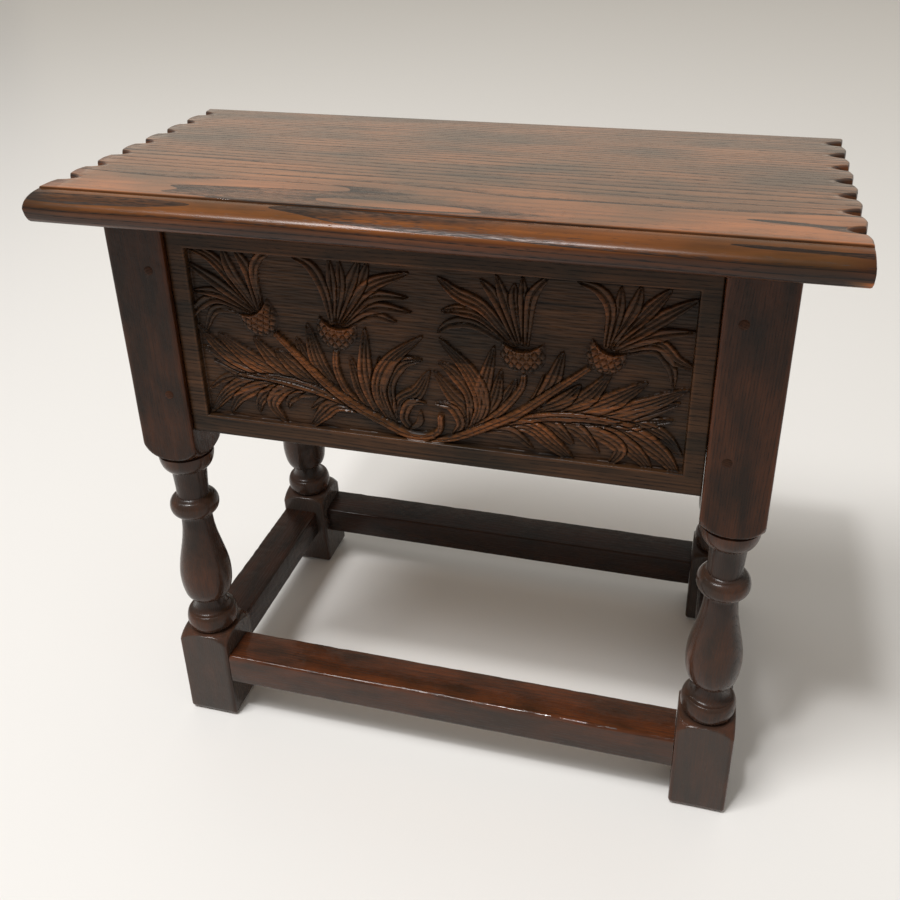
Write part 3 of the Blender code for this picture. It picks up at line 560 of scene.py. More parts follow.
class STOOL_OT_legs(bpy.types.Operator):
    """Turns the four legs, square at the post and the foot"""

    bl_idname = "stool.legs"
    bl_label = "Turned Legs"

    def execute(self, context):
        sizes = context.scene.stool_legs
        for side in (FRONT, BACK):
            for end in (LEFT, RIGHT):
                self.make(sizes, side, end)
        return {"FINISHED"}

    def make(self, sizes, side, end):
        """One leg: the square or the turning, whichever is smaller, at each height and angle."""
        axis = frame_matrix(side) @ Matrix.Translation(
            (end * (HALF_LENGTH - LEG / 2), -side * LEG / 2, 0.0)
        )
        seed = Vector((7.3 * end, 11.9 * side, 3.1))
        # The back legs are darker: less handling, and painted shade
        handling_and_shade = 1.0 if side == FRONT else 0.6
        rings, wear_and_painted_light, dust_and_painted_sheen = [], [], []
        for radius, height in leg_profile():
            sole = max(0.0, 1 - height / sizes.foot_wear)
            inset = sizes.foot_wear * (1 - math.sqrt(1 - sole ** 2))
            ring = []
            for angle in leg_angles(sizes.segments):
                square = square_radius(angle, LEG / 2, sizes.arris) - inset
                reach = min(square, radius)
                out = Vector((math.cos(angle), math.sin(angle), 0.0))
                ripple = noise.noise((out * reach + Vector((0, 0, height))) * 45 + seed)
                local = out * (reach - abs(ripple) * sizes.unevenness)
                local.z = self.level(sizes, side, height, local.y)
                ring.append(axis @ local)
                wear_and_painted_light.append(handling_and_shade * self.rub(radius, square, sole))
                dust_and_painted_sheen.append(self.dust_and_painted_sheen(radius, square, height, sole))
            rings.append(ring)
        node = f"{ALONG[side]}_{ACROSS[end]}_leg"
        obj = new_piece(f"turned_{node}", *loft(rings), smooth_angle=40)
        set_wear(obj, "wear_and_painted_light", wear_and_painted_light)
        set_wear(obj, "dust_and_painted_sheen", dust_and_painted_sheen)
        dress(obj, STOOL, "dark_oak_z", node)

    def level(self, sizes, side, height, y):
        """Height up the leaning leg, eased so that its foot and its top are level."""
        foot_reach, top_start = 50 * MM, 300 * MM
        lean = -side * math.tan(sizes.rake) * (y - side * LEG / 2)
        foot = max(0.0, 1 - height / foot_reach)
        top = max(0.0, (height - top_start) / (POST_TOP - top_start))
        return height + lean * (foot + top) + top * POST_TOP * (1 / math.cos(sizes.rake) - 1)

    def edge(self, square, sole):
        """How near a point of the square parts is to a worn edge, from 0 to 1."""
        edge_start = 0.72
        corner = (square / (LEG / 2) - 1) / (math.sqrt(2) - 1)
        return min(1.0, 3.0 * max(0.0, corner - edge_start) + sole)

    def rub(self, radius, square, sole):
        """Bright on the rings, belly and arrises, dark in the hollows as painted shade."""
        if radius > square:
            return 0.38 + 0.5 * self.edge(square, sole)
        # The turning is darker towards its hollows: painted shade
        hollow, belly = 12.0, 20.0
        out = (radius / MM - hollow) / (belly - hollow)
        return min(0.62, max(0.18, 0.20 + 0.36 * out))

    def dust_and_painted_sheen(self, radius, square, height, sole):
        """Grey, thick on the feet except on their worn edges and thin on the turning: dust, and on the feet
        also painted sheen.
        """
        turning_top = 252 * MM
        if height > turning_top:
            return 0.0
        if radius > square:
            return 0.32 * (1 - self.edge(square, sole))
        return 0.13


# Lid


class STOOL_OT_lid(bpy.types.Operator):
    """Moulds the lid's front, gouges its ends and lets the hinges in"""

    bl_idname = "stool.lid"
    bl_label = "Lid"

    def execute(self, context):
        sizes = context.scene.stool_lid
        rings = [self.ring(sizes, *station) for station in self.stations(sizes)]
        obj = new_piece("oak_lid", *loft(rings), smooth_angle=32)
        for name in ("left_hinge_lid_leaf", "right_hinge_lid_leaf"):
            self.let_in(obj, name)
        points = [vertex.co for vertex in obj.data.vertices]
        set_wear(obj, "wear_and_painted_light", [self.rub(sizes, point) for point in points])
        set_wear(obj, "dust_and_painted_sheen", [self.painted_sheen(sizes, point) for point in points])
        dress(obj, LID, "lid_oak_x", "lid")
        return {"FINISHED"}

    def stations(self, sizes):
        """(y, top, bottom) of each section from the nose to the back edge."""
        nose, back = LID_LOW.y, LID_HIGH.y
        top, bottom = LID_HIGH.z, LID_LOW.z
        quirk = nose + sizes.quirk_width
        waist = bottom + sizes.nose_rise
        groove = 1.6 * MM
        crest = top - 0.55 * sizes.quirk_step
        steps, rows = 28, 300
        made = []
        for count in range(1, steps + 1):
            turn = math.pi / 2 * (1 - count / steps)
            y = quirk - groove - (sizes.quirk_width - groove) * math.sin(turn)
            under = min(1.0, (y - nose) / sizes.undercut)
            lower = waist - sizes.nose_rise * math.sqrt(max(1 - (1 - under) ** 2, 0.0))
            made.append((y, waist + (crest - waist) * math.cos(turn), lower))
        # The quirk: widths of its groove in front of the arris, and depths of its step below the top
        for share, fall in ((0.80, 0.65), (0.65, 1.05), (0.50, 1.45), (0.35, 1.45), (0.22, 1.0), (0.10, 0.3),
                            (-0.05, 0.08), (-0.25, 0.0), (-0.9, 0.0)):
            made.append((quirk - share * groove, top - fall * sizes.quirk_step, bottom))
        start, end = quirk + 1.5 * groove, back - 1.6 * MM
        for row in range(rows):
            made.append((start + (end - start) * row / (rows - 1), top, bottom))
        # The back edge, eased: mm in from it, below the top and above the underside
        for inset, fall, rise in ((0.7, 0.12, 0.1), (0.2, 0.5, 0.4), (0.0, 1.2, 1.0)):
            made.append((back - inset * MM, top - fall * MM, bottom + rise * MM))
        return made

    def end_cut(self, sizes, y, share, end):
        """How far the end is cut back at a place along it, a share of the way up its thickness."""
        nearest = round((y - LID_LOW.y - sizes.notch_first) / sizes.notch_pitch)
        nearest = min(max(nearest, 0), sizes.notch_count - 1)
        wander = noise.noise(Vector((nearest * 3.7, end * 9.1, 0.5)))
        middle = LID_LOW.y + sizes.notch_first + nearest * sizes.notch_pitch + wander * 0.8 * MM
        off = abs(y - middle) / sizes.notch_radius
        deepest = sizes.notch_depth * (1 + 0.08 * wander) * share
        sweep, flank, ease = 1.15 * sizes.notch_radius, 30 * MM, 0.9 * MM
        fall = sweep * (1 - math.sqrt(1 - off * off)) if off < 1 else sweep + (off - 1) * flank
        hollow = deepest - fall
        cut = 0.5 * (hollow + math.sqrt(hollow * hollow + ease * ease))
        land = max(0.0, 1 - 2 * abs(y - middle) / sizes.notch_pitch)
        return cut + sizes.land_round * share * land ** 1.6

    def ring(self, sizes, y, top, bottom):
        """One section across the lid: up its right end, then down its left end."""
        steps, inset, clear, waviness = 10, 5 * MM, 0.3 * MM, 0.25 * MM
        span = top - bottom
        arris = min(sizes.arris, 0.45 * span)
        inner = LID_HIGH.x - sizes.notch_depth - sizes.land_round - inset
        ends = {}
        for end in (LEFT, RIGHT):
            points = [(inner, bottom)]
            for step in range(steps + 1):
                share = step / steps
                share = share * share * (3 - 2 * share)
                z = bottom + span * share
                short = max(0.0, arris - min(z - bottom, top - z))
                round_off = arris - math.sqrt(max(arris ** 2 - short ** 2, 0.0))
                cut = self.end_cut(sizes, y, max(0.0, (share - 0.08) / 0.92), end)
                wobble = noise.noise(Vector((y * 60, z * 60, end * 5.0))) * waviness
                points.append((LID_HIGH.x - clear - cut - round_off + wobble, z))
            points.append((inner, top))
            ends[end] = [Vector((end * x, y, z)) for x, z in points]
        return ends[RIGHT] + ends[LEFT][::-1]

    def let_in(self, lid, leaf):
        """Cuts the housing of one hinge leaf and its knuckles in the underside."""
        room = Vector((0.3, 0.3, 0.3)) * MM
        low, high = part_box(leaf)
        low, high = low - room, high + room
        bm = bmesh.new()
        bmesh.ops.create_cube(bm, size=1.0)
        bmesh.ops.scale(bm, vec=high - low, verts=bm.verts)
        bmesh.ops.translate(bm, vec=(low + high) / 2, verts=bm.verts)
        mesh = bpy.data.meshes.new(f"{leaf}_housing")
        bm.to_mesh(mesh)
        bm.free()
        housing = new_object(f"{leaf}_housing", mesh)
        cut = lid.modifiers.new("housing", "BOOLEAN")
        cut.object = housing
        cut.solver = "EXACT"
        bpy.context.view_layer.update()
        evaluated = lid.evaluated_get(bpy.context.evaluated_depsgraph_get())
        cut_mesh = bpy.data.meshes.new_from_object(evaluated)
        lid.modifiers.clear()
        lid.data = cut_mesh
        bpy.data.objects.remove(housing)

    def rub(self, sizes, point):
        """Bright at the nose's middle, its right lower corner and the quirk's arris; dark as painted shade in
        the quirk, the end cuts, the nose's ends and its lower half.
        """
        from_nose = (point.y - LID_LOW.y) / sizes.quirk_width
        below = (LID_HIGH.z - point.z) / (LID_HIGH.z - LID_LOW.z)
        # Where each ends, in widths of the moulding
        moulding, quirk, arris = 0.93, 0.995, 1.03
        corner = LID_HIGH.x - 2.0 * MM
        if from_nose < moulding and below > 0.75 and point.x > corner:
            return 0.85
        if from_nose < moulding:
            wear_and_light_tone = 0.12 * noise.noise(Vector((point.x * 9, 0.0, 4.2)))
            # The nose darkens towards its ends and over its lower half: painted shade
            end = max(0.0, abs(point.x) / LID_HIGH.x - 0.5) / 0.5
            return 0.87 + wear_and_light_tone - 0.80 * end ** 1.6 - 0.6 * max(0.0, below - 0.25)
        # The quirk's groove is darkened: painted shade
        if from_nose < quirk:
            return 0.12
        if from_nose < arris:
            return 0.68
        # The ends' cut faces are darkened, the deeper the darker: painted shade
        inner = LID_HIGH.x - sizes.notch_depth - sizes.land_round
        end = max(0.0, (abs(point.x) - inner) / (LID_HIGH.x - inner))
        if below < 0.02 or end == 0.0:
            return 0.5 + 0.055 * max(0.0, 4.0 - from_nose)
        return 0.05 * end

    def painted_sheen(self, sizes, point):
        """Painted sheen: a grey laid over the top, strongest at the back and the ends."""
        if point.y < LID_LOW.y + sizes.quirk_width or point.z < LID_HIGH.z - 1.0 * MM:
            return 0.0
        back = (point.y - LID_LOW.y) / (LID_HIGH.y - LID_LOW.y)
        end = max(0.0, abs(point.x) / LID_HIGH.x - 0.4) / 0.6
        return 0.16 * back + 0.30 * end


# Carved front


# Leaves, stems and petals of the carving: points in mm across from the middle and up from the floor,
# then the greatest width and the height above the ground, both in mm.
LEAVES = [
    ([(-82, 324), (-115, 328), (-148, 324), (-166, 313)], 8, 2.4),
    ([(-80, 323), (-120, 325), (-148, 314), (-167, 294)], 12, 3.2),
    ([(-86, 322), (-117, 322), (-141, 310), (-152, 295)], 10, 2.9),
    ([(-86, 321), (-112, 319), (-126, 309), (-129, 298)], 9, 2.7),
    ([(-74, 322), (-103, 321), (-117, 307), (-108, 292)], 11, 3.2),
    ([(-72, 319), (-92, 318), (-104, 311), (-106, 304)], 7, 2.4),
    ([(-62, 316), (-80, 320), (-97, 314)], 7, 2.4),
    ([(-58, 314), (-74, 316), (-89, 306)], 8, 2.7),
    ([(-48, 309), (-68, 312), (-80, 303), (-89, 292)], 12, 3.2),
    ([(-108, 328), (-138, 329), (-160, 336)], 8, 2.4),
    ([(-104, 328), (-140, 334), (-166, 346)], 9, 2.6),
    ([(-88, 327), (-124, 332), (-150, 343), (-169, 363)], 10, 3.0),
    ([(-100, 328), (-127, 338), (-154, 357)], 13, 3.3),
    ([(-94, 328), (-112, 340), (-127, 357)], 11, 3.0),
    ([(-84, 326), (-98, 337), (-111, 349)], 11, 2.9),
    ([(-72, 326), (-87, 342), (-95, 360)], 10, 2.6),
    ([(-68, 325), (-80, 344), (-86, 371)], 12, 3.0),
    ([(-40, 306), (-50, 326), (-57, 350)], 10, 2.7),
    ([(-36, 304), (-46, 335), (-45, 372)], 11, 3.2),
    ([(-32, 303), (-38, 326), (-36, 352)], 9, 2.7),
    ([(-24, 306), (-22, 320), (-10, 329), (-1, 346)], 12, 2.9),
    ([(-27, 308), (-30, 332), (-21, 348), (-6, 353)], 11, 3.0),
    ([(-28, 303), (-37, 326), (-29, 349), (-5, 370)], 12, 3.4),
    ([(-14, 299), (-20, 308), (-15, 320), (-4, 321)], 7, 3.0),
    ([(-15, 300), (-9, 306), (-8, 315)], 5, 2.5),
    ([(88, 322), (128, 323), (152, 318), (167, 304)], 12, 2.7),
    ([(82, 322), (125, 319), (151, 306), (166, 289)], 15, 3.3),
    ([(90, 320), (120, 314), (138, 302), (149, 289)], 12, 3.0),
    ([(84, 320), (111, 314), (127, 304), (121, 291)], 11, 3.0),
    ([(78, 319), (98, 315), (114, 299)], 10, 2.8),
    ([(58, 318), (80, 317), (97, 303)], 11, 2.8),
    ([(40, 310), (66, 313), (83, 302), (98, 290)], 13, 3.3),
    ([(34, 305), (54, 307), (70, 296)], 8, 2.5),
    ([(98, 324), (132, 324), (160, 329)], 9, 2.5),
    ([(100, 324), (138, 331), (163, 342)], 9, 2.6),
    ([(74, 322), (112, 326), (142, 338), (167, 352)], 13, 3.2),
    ([(86, 323), (116, 336), (142, 354)], 13, 3.2),
    ([(76, 324), (102, 337), (119, 358)], 12, 3.0),
    ([(70, 325), (88, 334), (100, 347)], 10, 2.8),
    ([(64, 325), (74, 338), (77, 353)], 8, 2.4),
    ([(70, 327), (81, 346), (88, 369)], 11, 3.0),
    ([(38, 313), (50, 329), (58, 346)], 9, 2.5),
    ([(33, 309), (43, 329), (48, 352)], 9, 2.7),
    ([(29, 306), (35, 335), (43, 368)], 11, 3.1),
    ([(25, 306), (24, 320), (14, 330), (2, 346)], 11, 2.9),
    ([(27, 307), (27, 331), (16, 346), (5, 353)], 10, 3.0),
    ([(27, 303), (35, 325), (27, 347), (6, 370)], 12, 3.4),
    ([(15, 300), (20, 309), (14, 320), (2, 322)], 7, 3.0),
    ([(-56, 312), (-85, 322), (-112, 327), (-142, 327)], 7, 3.5),
    ([(44, 311), (75, 321), (102, 324), (138, 323)], 7, 3.5),
]
STEMS = [
    ([(-66, 358), (-67, 340), (-60, 323), (-46, 309), (-30, 300)], 6, 3.1),
    ([(63, 353), (61, 340), (48, 322), (32, 308), (15, 298)], 5.5, 3.0),
    ([(106, 361), (85, 343), (60, 322), (40, 310), (22, 300), (8, 295), (-6, 294)], 6.5, 3.3),
    ([(-112, 364), (-95, 347), (-75, 327), (-55, 313), (-35, 303), (-18, 296), (-4, 296), (5, 302),
      (6, 312)], 7.5, 3.7),
]
# Thistle heads: middle, lean in degrees to the left of straight up, half width, half length, petals
THISTLES = [
    ((-121, 372), 28, 14.0, 14.5, [
        ([(-133, 376), (-152, 375), (-163, 357)], 7, 2.5),
        ([(-131, 378), (-150, 383), (-165, 376), (-172, 366)], 8, 2.7),
        ([(-129, 380), (-150, 387), (-169, 387)], 7, 2.7),
        ([(-127, 381), (-147, 393), (-171, 408)], 8, 2.6),
        ([(-124, 382), (-137, 397), (-152, 413), (-172, 420)], 9, 2.9),
        ([(-122, 383), (-137, 403), (-143, 420)], 8, 2.5),
        ([(-120, 383), (-125, 405), (-134, 420)], 8, 2.7),
        ([(-116, 385), (-121, 403), (-116, 415), (-104, 421)], 7, 2.8),
    ]),
    ((-65, 367), -8, 14.5, 13.5, [
        ([(-54, 373), (-40, 381), (-22, 378)], 8, 2.6),
        ([(-56, 376), (-38, 387), (-12, 386)], 8, 2.8),
        ([(-57, 378), (-40, 394), (-14, 396)], 8, 2.9),
        ([(-59, 380), (-41, 401), (-13, 413)], 10, 3.0),
        ([(-61, 380), (-47, 400), (-40, 418)], 8, 2.6),
        ([(-64, 379), (-53, 402), (-46, 419)], 8, 2.4),
        ([(-66, 379), (-60, 400), (-60, 418)], 7, 2.7),
        ([(-68, 379), (-66, 400), (-67, 419)], 7, 2.5),
        ([(-70, 379), (-72, 397), (-80, 412), (-93, 418)], 8, 2.9),
    ]),
    ((62, 364), 2, 15.0, 13.5, [
        ([(48, 374), (30, 382), (15, 381), (5, 374)], 8, 2.6),
        ([(50, 376), (35, 388), (20, 391), (8, 389)], 9, 2.8),
        ([(52, 377), (36, 394), (19, 402), (6, 412)], 10, 3.0),
        ([(55, 378), (45, 400), (34, 413)], 8, 2.7),
        ([(58, 378), (50, 400), (44, 417)], 7, 2.6),
        ([(60, 378), (56, 400), (56, 412)], 7, 2.5),
        ([(63, 378), (62, 400), (61, 417)], 7, 2.5),
        ([(66, 378), (66, 398), (69, 408), (78, 419)], 8, 2.8),
    ]),
    ((115, 369), -18, 13.0, 12.5, [
        ([(127, 373), (145, 376), (155, 366), (158, 352)], 8, 2.6),
        ([(126, 375), (145, 381), (158, 371), (170, 366)], 9, 2.8),
        ([(125, 378), (145, 386), (168, 391)], 8, 2.8),
        ([(123, 380), (145, 396), (168, 412)], 10, 3.0),
        ([(121, 382), (139, 402), (152, 417)], 9, 2.8),
        ([(119, 382), (130, 402), (134, 417)], 8, 2.6),
        ([(117, 382), (121, 400), (122, 416)], 7, 2.5),
        ([(114, 382), (116, 400), (109, 412), (95, 417)], 8, 2.9),
    ]),
]


def curve_points(controls, count=60):
    """Points of a smooth curve through the control points."""
    points = np.array([controls[0], *controls, controls[-1]], float)
    points[0] = 2 * points[1] - points[2]
    points[-1] = 2 * points[-2] - points[-3]
    spans = len(controls) - 1
    made = []
    for value in np.linspace(0, spans, count):
        span = min(int(value), spans - 1)
        t = value - span
        a, b, c, d = points[span:span + 4]
        made.append(0.5 * (2 * b + (c - a) * t + (2 * a - 5 * b + 4 * c - d) * t ** 2
                           + (3 * b - a - 3 * c + d) * t ** 3))
    return np.array(made)


def along_curve(x, z, line):
    """Distance from each place to a curve, which side it is on, and how far along it lies."""
    starts, steps = line[:-1], np.diff(line, axis=0)
    px = x[..., None] - starts[:, 0]
    pz = z[..., None] - starts[:, 1]
    share = np.clip((px * steps[:, 0] + pz * steps[:, 1]) / (steps ** 2).sum(1), 0, 1)
    squared = (px - share * steps[:, 0]) ** 2 + (pz - share * steps[:, 1]) ** 2
    nearest = squared.argmin(-1)[..., None]
    cross = steps[:, 0] * pz - steps[:, 1] * px
    distance = np.sqrt(np.take_along_axis(squared, nearest, -1)[..., 0])
    side = np.sign(np.take_along_axis(cross, nearest, -1)[..., 0])
    travel = (nearest + np.take_along_axis(share, nearest, -1))[..., 0] / len(steps)
    return distance, side, travel


class Relief:
    """Height of the carving above its ground, in mm, on a grid of places across and up the board."""

    # What stands no higher is ground
    flat = 0.1

    def __init__(self, xs, zs):
        self.xs, self.zs = xs, zs
        self.height = np.zeros((len(zs), len(xs)))

    def window(self, points, margin):
        """The part of the grid near some points: its rows and columns, and its places."""
        points = np.array(points, float)
        low, high = points.min(0) - margin, points.max(0) + margin
        columns = slice(*np.searchsorted(self.xs, (low[0], high[0])))
        rows = slice(*np.searchsorted(self.zs, (low[1], high[1])))
        return (rows, columns), *np.meshgrid(self.xs[columns], self.zs[rows])

    def lay(self, area, form, beyond):
        """Lays a form over what is there, with a cut round it; `beyond` is the distance past its edge."""
        cut_reach, cut_share = 1.2, 0.72
        cut = np.clip(1 - beyond / cut_reach, 0, 1) * (beyond > 0)
        self.height[area] = np.maximum(self.height[area] * (1 - cut_share * cut), form)

    def leaf(self, controls, width, height):
        """A leaf or petal: narrow at its root, pointed, hollowed between raised rims and cut in reeds."""
        line = curve_points(controls)
        area, x, z = self.window(line, width)
        distance, side, travel = along_curve(x, z, line)
        widest = 0.58
        swell = 0.42 + 0.58 * np.sin(np.pi / 2 * np.clip(travel / widest, 0, 1))
        taper = np.clip((1 - travel) / (1 - widest), 0, 1) ** 0.52
        half = np.maximum(width / 2 * np.where(travel < widest, swell, taper), 0.2)
        across = np.clip(side * distance / half, -1, 1)
        crown = np.clip(1 - across ** 8, 0, 1) ** 0.5 * (0.76 + 0.24 * across ** 2 + 0.12 * across)
        rise = height * (0.72 + 0.28 * np.sin(np.pi * np.clip(travel * 1.05, 0, 1)))
        blade = np.maximum(rise * crown - self.reeds(across, half, round(width / 3.4)), 0.35)
        self.lay(area, np.where(distance < half, blade, 0), distance - half)

    def stem(self, controls, width, height):
        """A round stem cut in reeds along its length."""
        line = curve_points(controls, 110)
        area, x, z = self.window(line, width)
        distance, side, travel = along_curve(x, z, line)
        half = width / 2 * (0.62 + 0.38 * np.sin(np.pi * np.clip(travel * 1.1, 0, 1)))
        across = np.clip(side * distance / half, -1, 1)
        crown = np.clip(1 - across ** 2, 0, 1) ** 0.4
        form = np.maximum(height * crown - self.reeds(across, half, round(width / 3)), 0.35)
        self.lay(area, np.where(distance < half, form, 0), distance - half)

    def reeds(self, across, half, count):
        """Depth of the cuts between a number of reeds that lie side by side."""
        depth, half_width, narrow = 1.2, 1.0, 1.6
        place = (across + 1) / 2 * count
        off = np.abs(place - np.round(place)) * 2 * half / count
        between_reeds = (np.round(place) > 0) & (np.round(place) < count)
        return depth * between_reeds * np.clip(1 - off / half_width, 0, 1) * np.clip(half / narrow, 0, 1)

    def thistle(self, middle, lean, half_width, half_length, petals):
        """A thistle's head: a dome cut in a lattice, its rim turned up at the sides, over its petals."""
        for controls, width, height in petals:
            root = tuple(0.45 * m + 0.55 * c for m, c in zip(middle, controls[0]))
            self.leaf([root, *controls[1:]], width, height)
        area, x, z = self.window([middle], 1.4 * max(half_width, half_length))
        turn = math.radians(lean)
        along = -(x - middle[0]) * math.sin(turn) + (z - middle[1]) * math.cos(turn)
        across = (x - middle[0]) * math.cos(turn) + (z - middle[1]) * math.sin(turn)
        rim = half_length * (0.22 + 0.50 * (across / half_width) ** 2)
        upper = np.where(along < 0, 1.0, 0.62)
        out = np.sqrt((across / half_width) ** 2 + (upper * along / half_length) ** 2)
        height, pitch, cut_width, cut_depth = 3.9, 4.3, 0.55, 1.2
        dome = height * np.clip(1 - out ** 2, 0, 1) ** 0.5
        lattice = np.zeros_like(dome)
        for tilt in (0.62, -0.62):
            stripe = (across * math.cos(tilt) + along * math.sin(tilt)) / pitch
            lattice = np.maximum(lattice, np.exp(-((stripe - np.round(stripe)) * pitch / cut_width) ** 2))
        lip = np.exp(-((rim - along - 0.6) / 0.6) ** 2)
        head = np.maximum(dome - cut_depth * lattice * (1 - lip) + 0.2 * lip, 0.6)
        beyond = np.maximum((out - 1) * half_length, along - rim)
        round_reach, round_share = 1.3, 0.75
        cut = np.clip(1 - beyond / round_reach, 0, 1) * round_share
        self.height[area] = np.where(beyond < 0, head, self.height[area] * (1 - cut))


class STOOL_OT_front_board(bpy.types.Operator):
    """Sinks the front board's field and carves thistles and leaves in it"""

    bl_idname = "stool.front_board"
    bl_label = "Carved Front"

    def execute(self, context):
        sizes = context.scene.stool_carving
        xs, zs = self.grid(sizes)
        relief = Relief(xs, zs)
        for leaf in LEAVES:
            relief.leaf(*leaf)
        for stem in STEMS:
            relief.stem(*stem)
        for thistle in THISTLES:
            relief.thistle(*thistle)
        depth, wear_and_painted_light = self.surface(sizes, relief)
        obj = self.board(sizes, xs, zs, depth)
        values = np.full(len(obj.data.vertices), 0.5)
        values[:wear_and_painted_light.size] = wear_and_painted_light.ravel()
        set_wear(obj, "wear_and_painted_light", values)
        dress(obj, STOOL, "carved_oak", "front_board")
        return {"FINISHED"}

    def field(self, sizes):
        """The sunk field's left, right, bottom and top, in mm."""
        half = (HALF_INNER - sizes.side_margin) / MM
        return -half, half, (BOARD_BOTTOM + sizes.bottom_margin) / MM, (POST_TOP - sizes.top_margin) / MM

    def grid(self, sizes):
        """Lines of the surface's grid in mm, fine over the field and coarse over the margins."""
        left, right, bottom, top = self.field(sizes)
        clear, inset = 0.3, 1.9
        half = HALF_INNER / MM - clear
        # Lines in from the board's edge, and to both sides of the field's edge
        margin = np.array([0.0, 0.4, 1.2, 5.0])
        wall = np.array([-2.5, -1.2, -0.6, -0.2, 0.2, 0.5, 0.8, 1.1, 1.4])
        spans = ((-half, half, left, right), (BOARD_BOTTOM / MM, POST_TOP / MM, bottom, top))
        lines = []
        for low, high, start, end in spans:
            fine = np.linspace(start + inset, end - inset, round((end - start) / (sizes.grid / MM)))
            parts = (low + margin, start + wall, fine, end - wall[::-1], high - margin[::-1])
            lines.append(np.concatenate(parts))
        return lines

    def surface(self, sizes, relief):
        """Depth of each point behind the board's face in mm, and its share of wear and painted light."""
        left, right, bottom, top = self.field(sizes)
        xs, zs = relief.xs[None, :], relief.zs[:, None]
        inside = np.minimum(np.minimum(xs - left, right - xs), np.minimum(zs - bottom, top - zs))
        wall_width, highest, shallowest = 1.2, 2.6, 0.1
        wall = np.clip(inside / wall_width, 0, 1)
        wall = wall * wall * (3 - 2 * wall)
        ground = relief.height < relief.flat
        # Shallow tool marks on the ground
        marks = 0.14 * np.sin(zs * 1.9 + 0.8 * np.sin(xs / 11)) * np.sin(xs / 5.3 + 1.7 * np.sin(zs * 0.9))
        depth = wall * np.maximum(sizes.depth / MM - relief.height + marks * ground, shallowest)
        # The open ground darkens near the carved work and near the field's walls: dirt and painted shade
        open_ground = 0.47 - 0.36 * self.dirt_and_shade(relief) - 0.2 * np.exp(-np.maximum(inside, 0) / 3)
        # Leaves, stems and thistles are lighter the higher they stand: wear, with painted highlight on the
        # crests and painted shade in the hollows
        painted_light_and_wear = np.where(ground, open_ground, np.clip(0.12 + 0.72 * (relief.height / highest) ** 2, 0, 0.95))
        edge = 0.22 * np.exp(-((inside + 0.5) / 0.7) ** 2)
        return depth, np.where(inside > 0.6, painted_light_and_wear, 0.41 + edge)

    def dirt_and_shade(self, relief):
        """Share of carved work close round each point, where the ground is darkened with dirt and painted
        shade.
        """
        carved = (relief.height > relief.flat).astype(float)
        reach = range(-8, 9, 4)
        shifted = [np.roll(carved, (up, across), (0, 1)) for up in reach for across in reach]
        return sum(shifted) / len(shifted)

    def board(self, sizes, xs, zs, depth):
        """The board: its carved face, closed round the edges to a plain back."""
        matrix = frame_matrix(FRONT)
        rows, columns = depth.shape
        edge = np.minimum(
            np.minimum(xs - xs[0], xs[-1] - xs)[None, :], np.minimum(zs - zs[0], zs[-1] - zs)[:, None]
        )
        eased = 0.6 * np.clip(1 - edge / 0.8, 0, 1) ** 2
        rise = 1 / math.cos(bpy.context.scene.stool_legs.rake)
        x, z = np.meshgrid(xs * MM, zs * MM * rise)
        face = np.stack([x, sizes.setback + (depth + eased) * MM, z], -1).reshape(-1, 3)
        cells = np.arange(rows * columns).reshape(rows, columns)
        loop = np.concatenate([cells[0], cells[1:, -1], cells[-1, -2::-1], cells[-2:0:-1, 0]])
        back = face[loop]
        back[:, 1] = sizes.setback + sizes.thickness
        vertices = np.concatenate([face, back]) @ np.array(matrix.to_3x3()).T + np.array(matrix.translation)
        quads = np.stack([cells[:-1, :-1], cells[:-1, 1:], cells[1:, 1:], cells[1:, :-1]], -1).reshape(-1, 4)
        behind = np.arange(len(loop)) + face.shape[0]
        sides = np.stack([np.roll(loop, -1), loop, behind, np.roll(behind, -1)], -1)
        faces = quads.tolist() + sides.tolist() + [behind[::-1].tolist()]
        return new_piece("carved_front_board", vertices.tolist(), faces, smooth_angle=60)


# Plain joinery


class STOOL_OT_boards(bpy.types.Operator):
    """Finishes the back and end boards"""

    bl_idname = "stool.boards"
    bl_label = "Plain Boards"

    def execute(self, context):
        keep("back_board", "board_oak_x", 0.6 * MM)
        for end in (LEFT, RIGHT):
            keep(f"{ACROSS[end]}_end_board", "board_oak_y", 0.6 * MM)
        return {"FINISHED"}


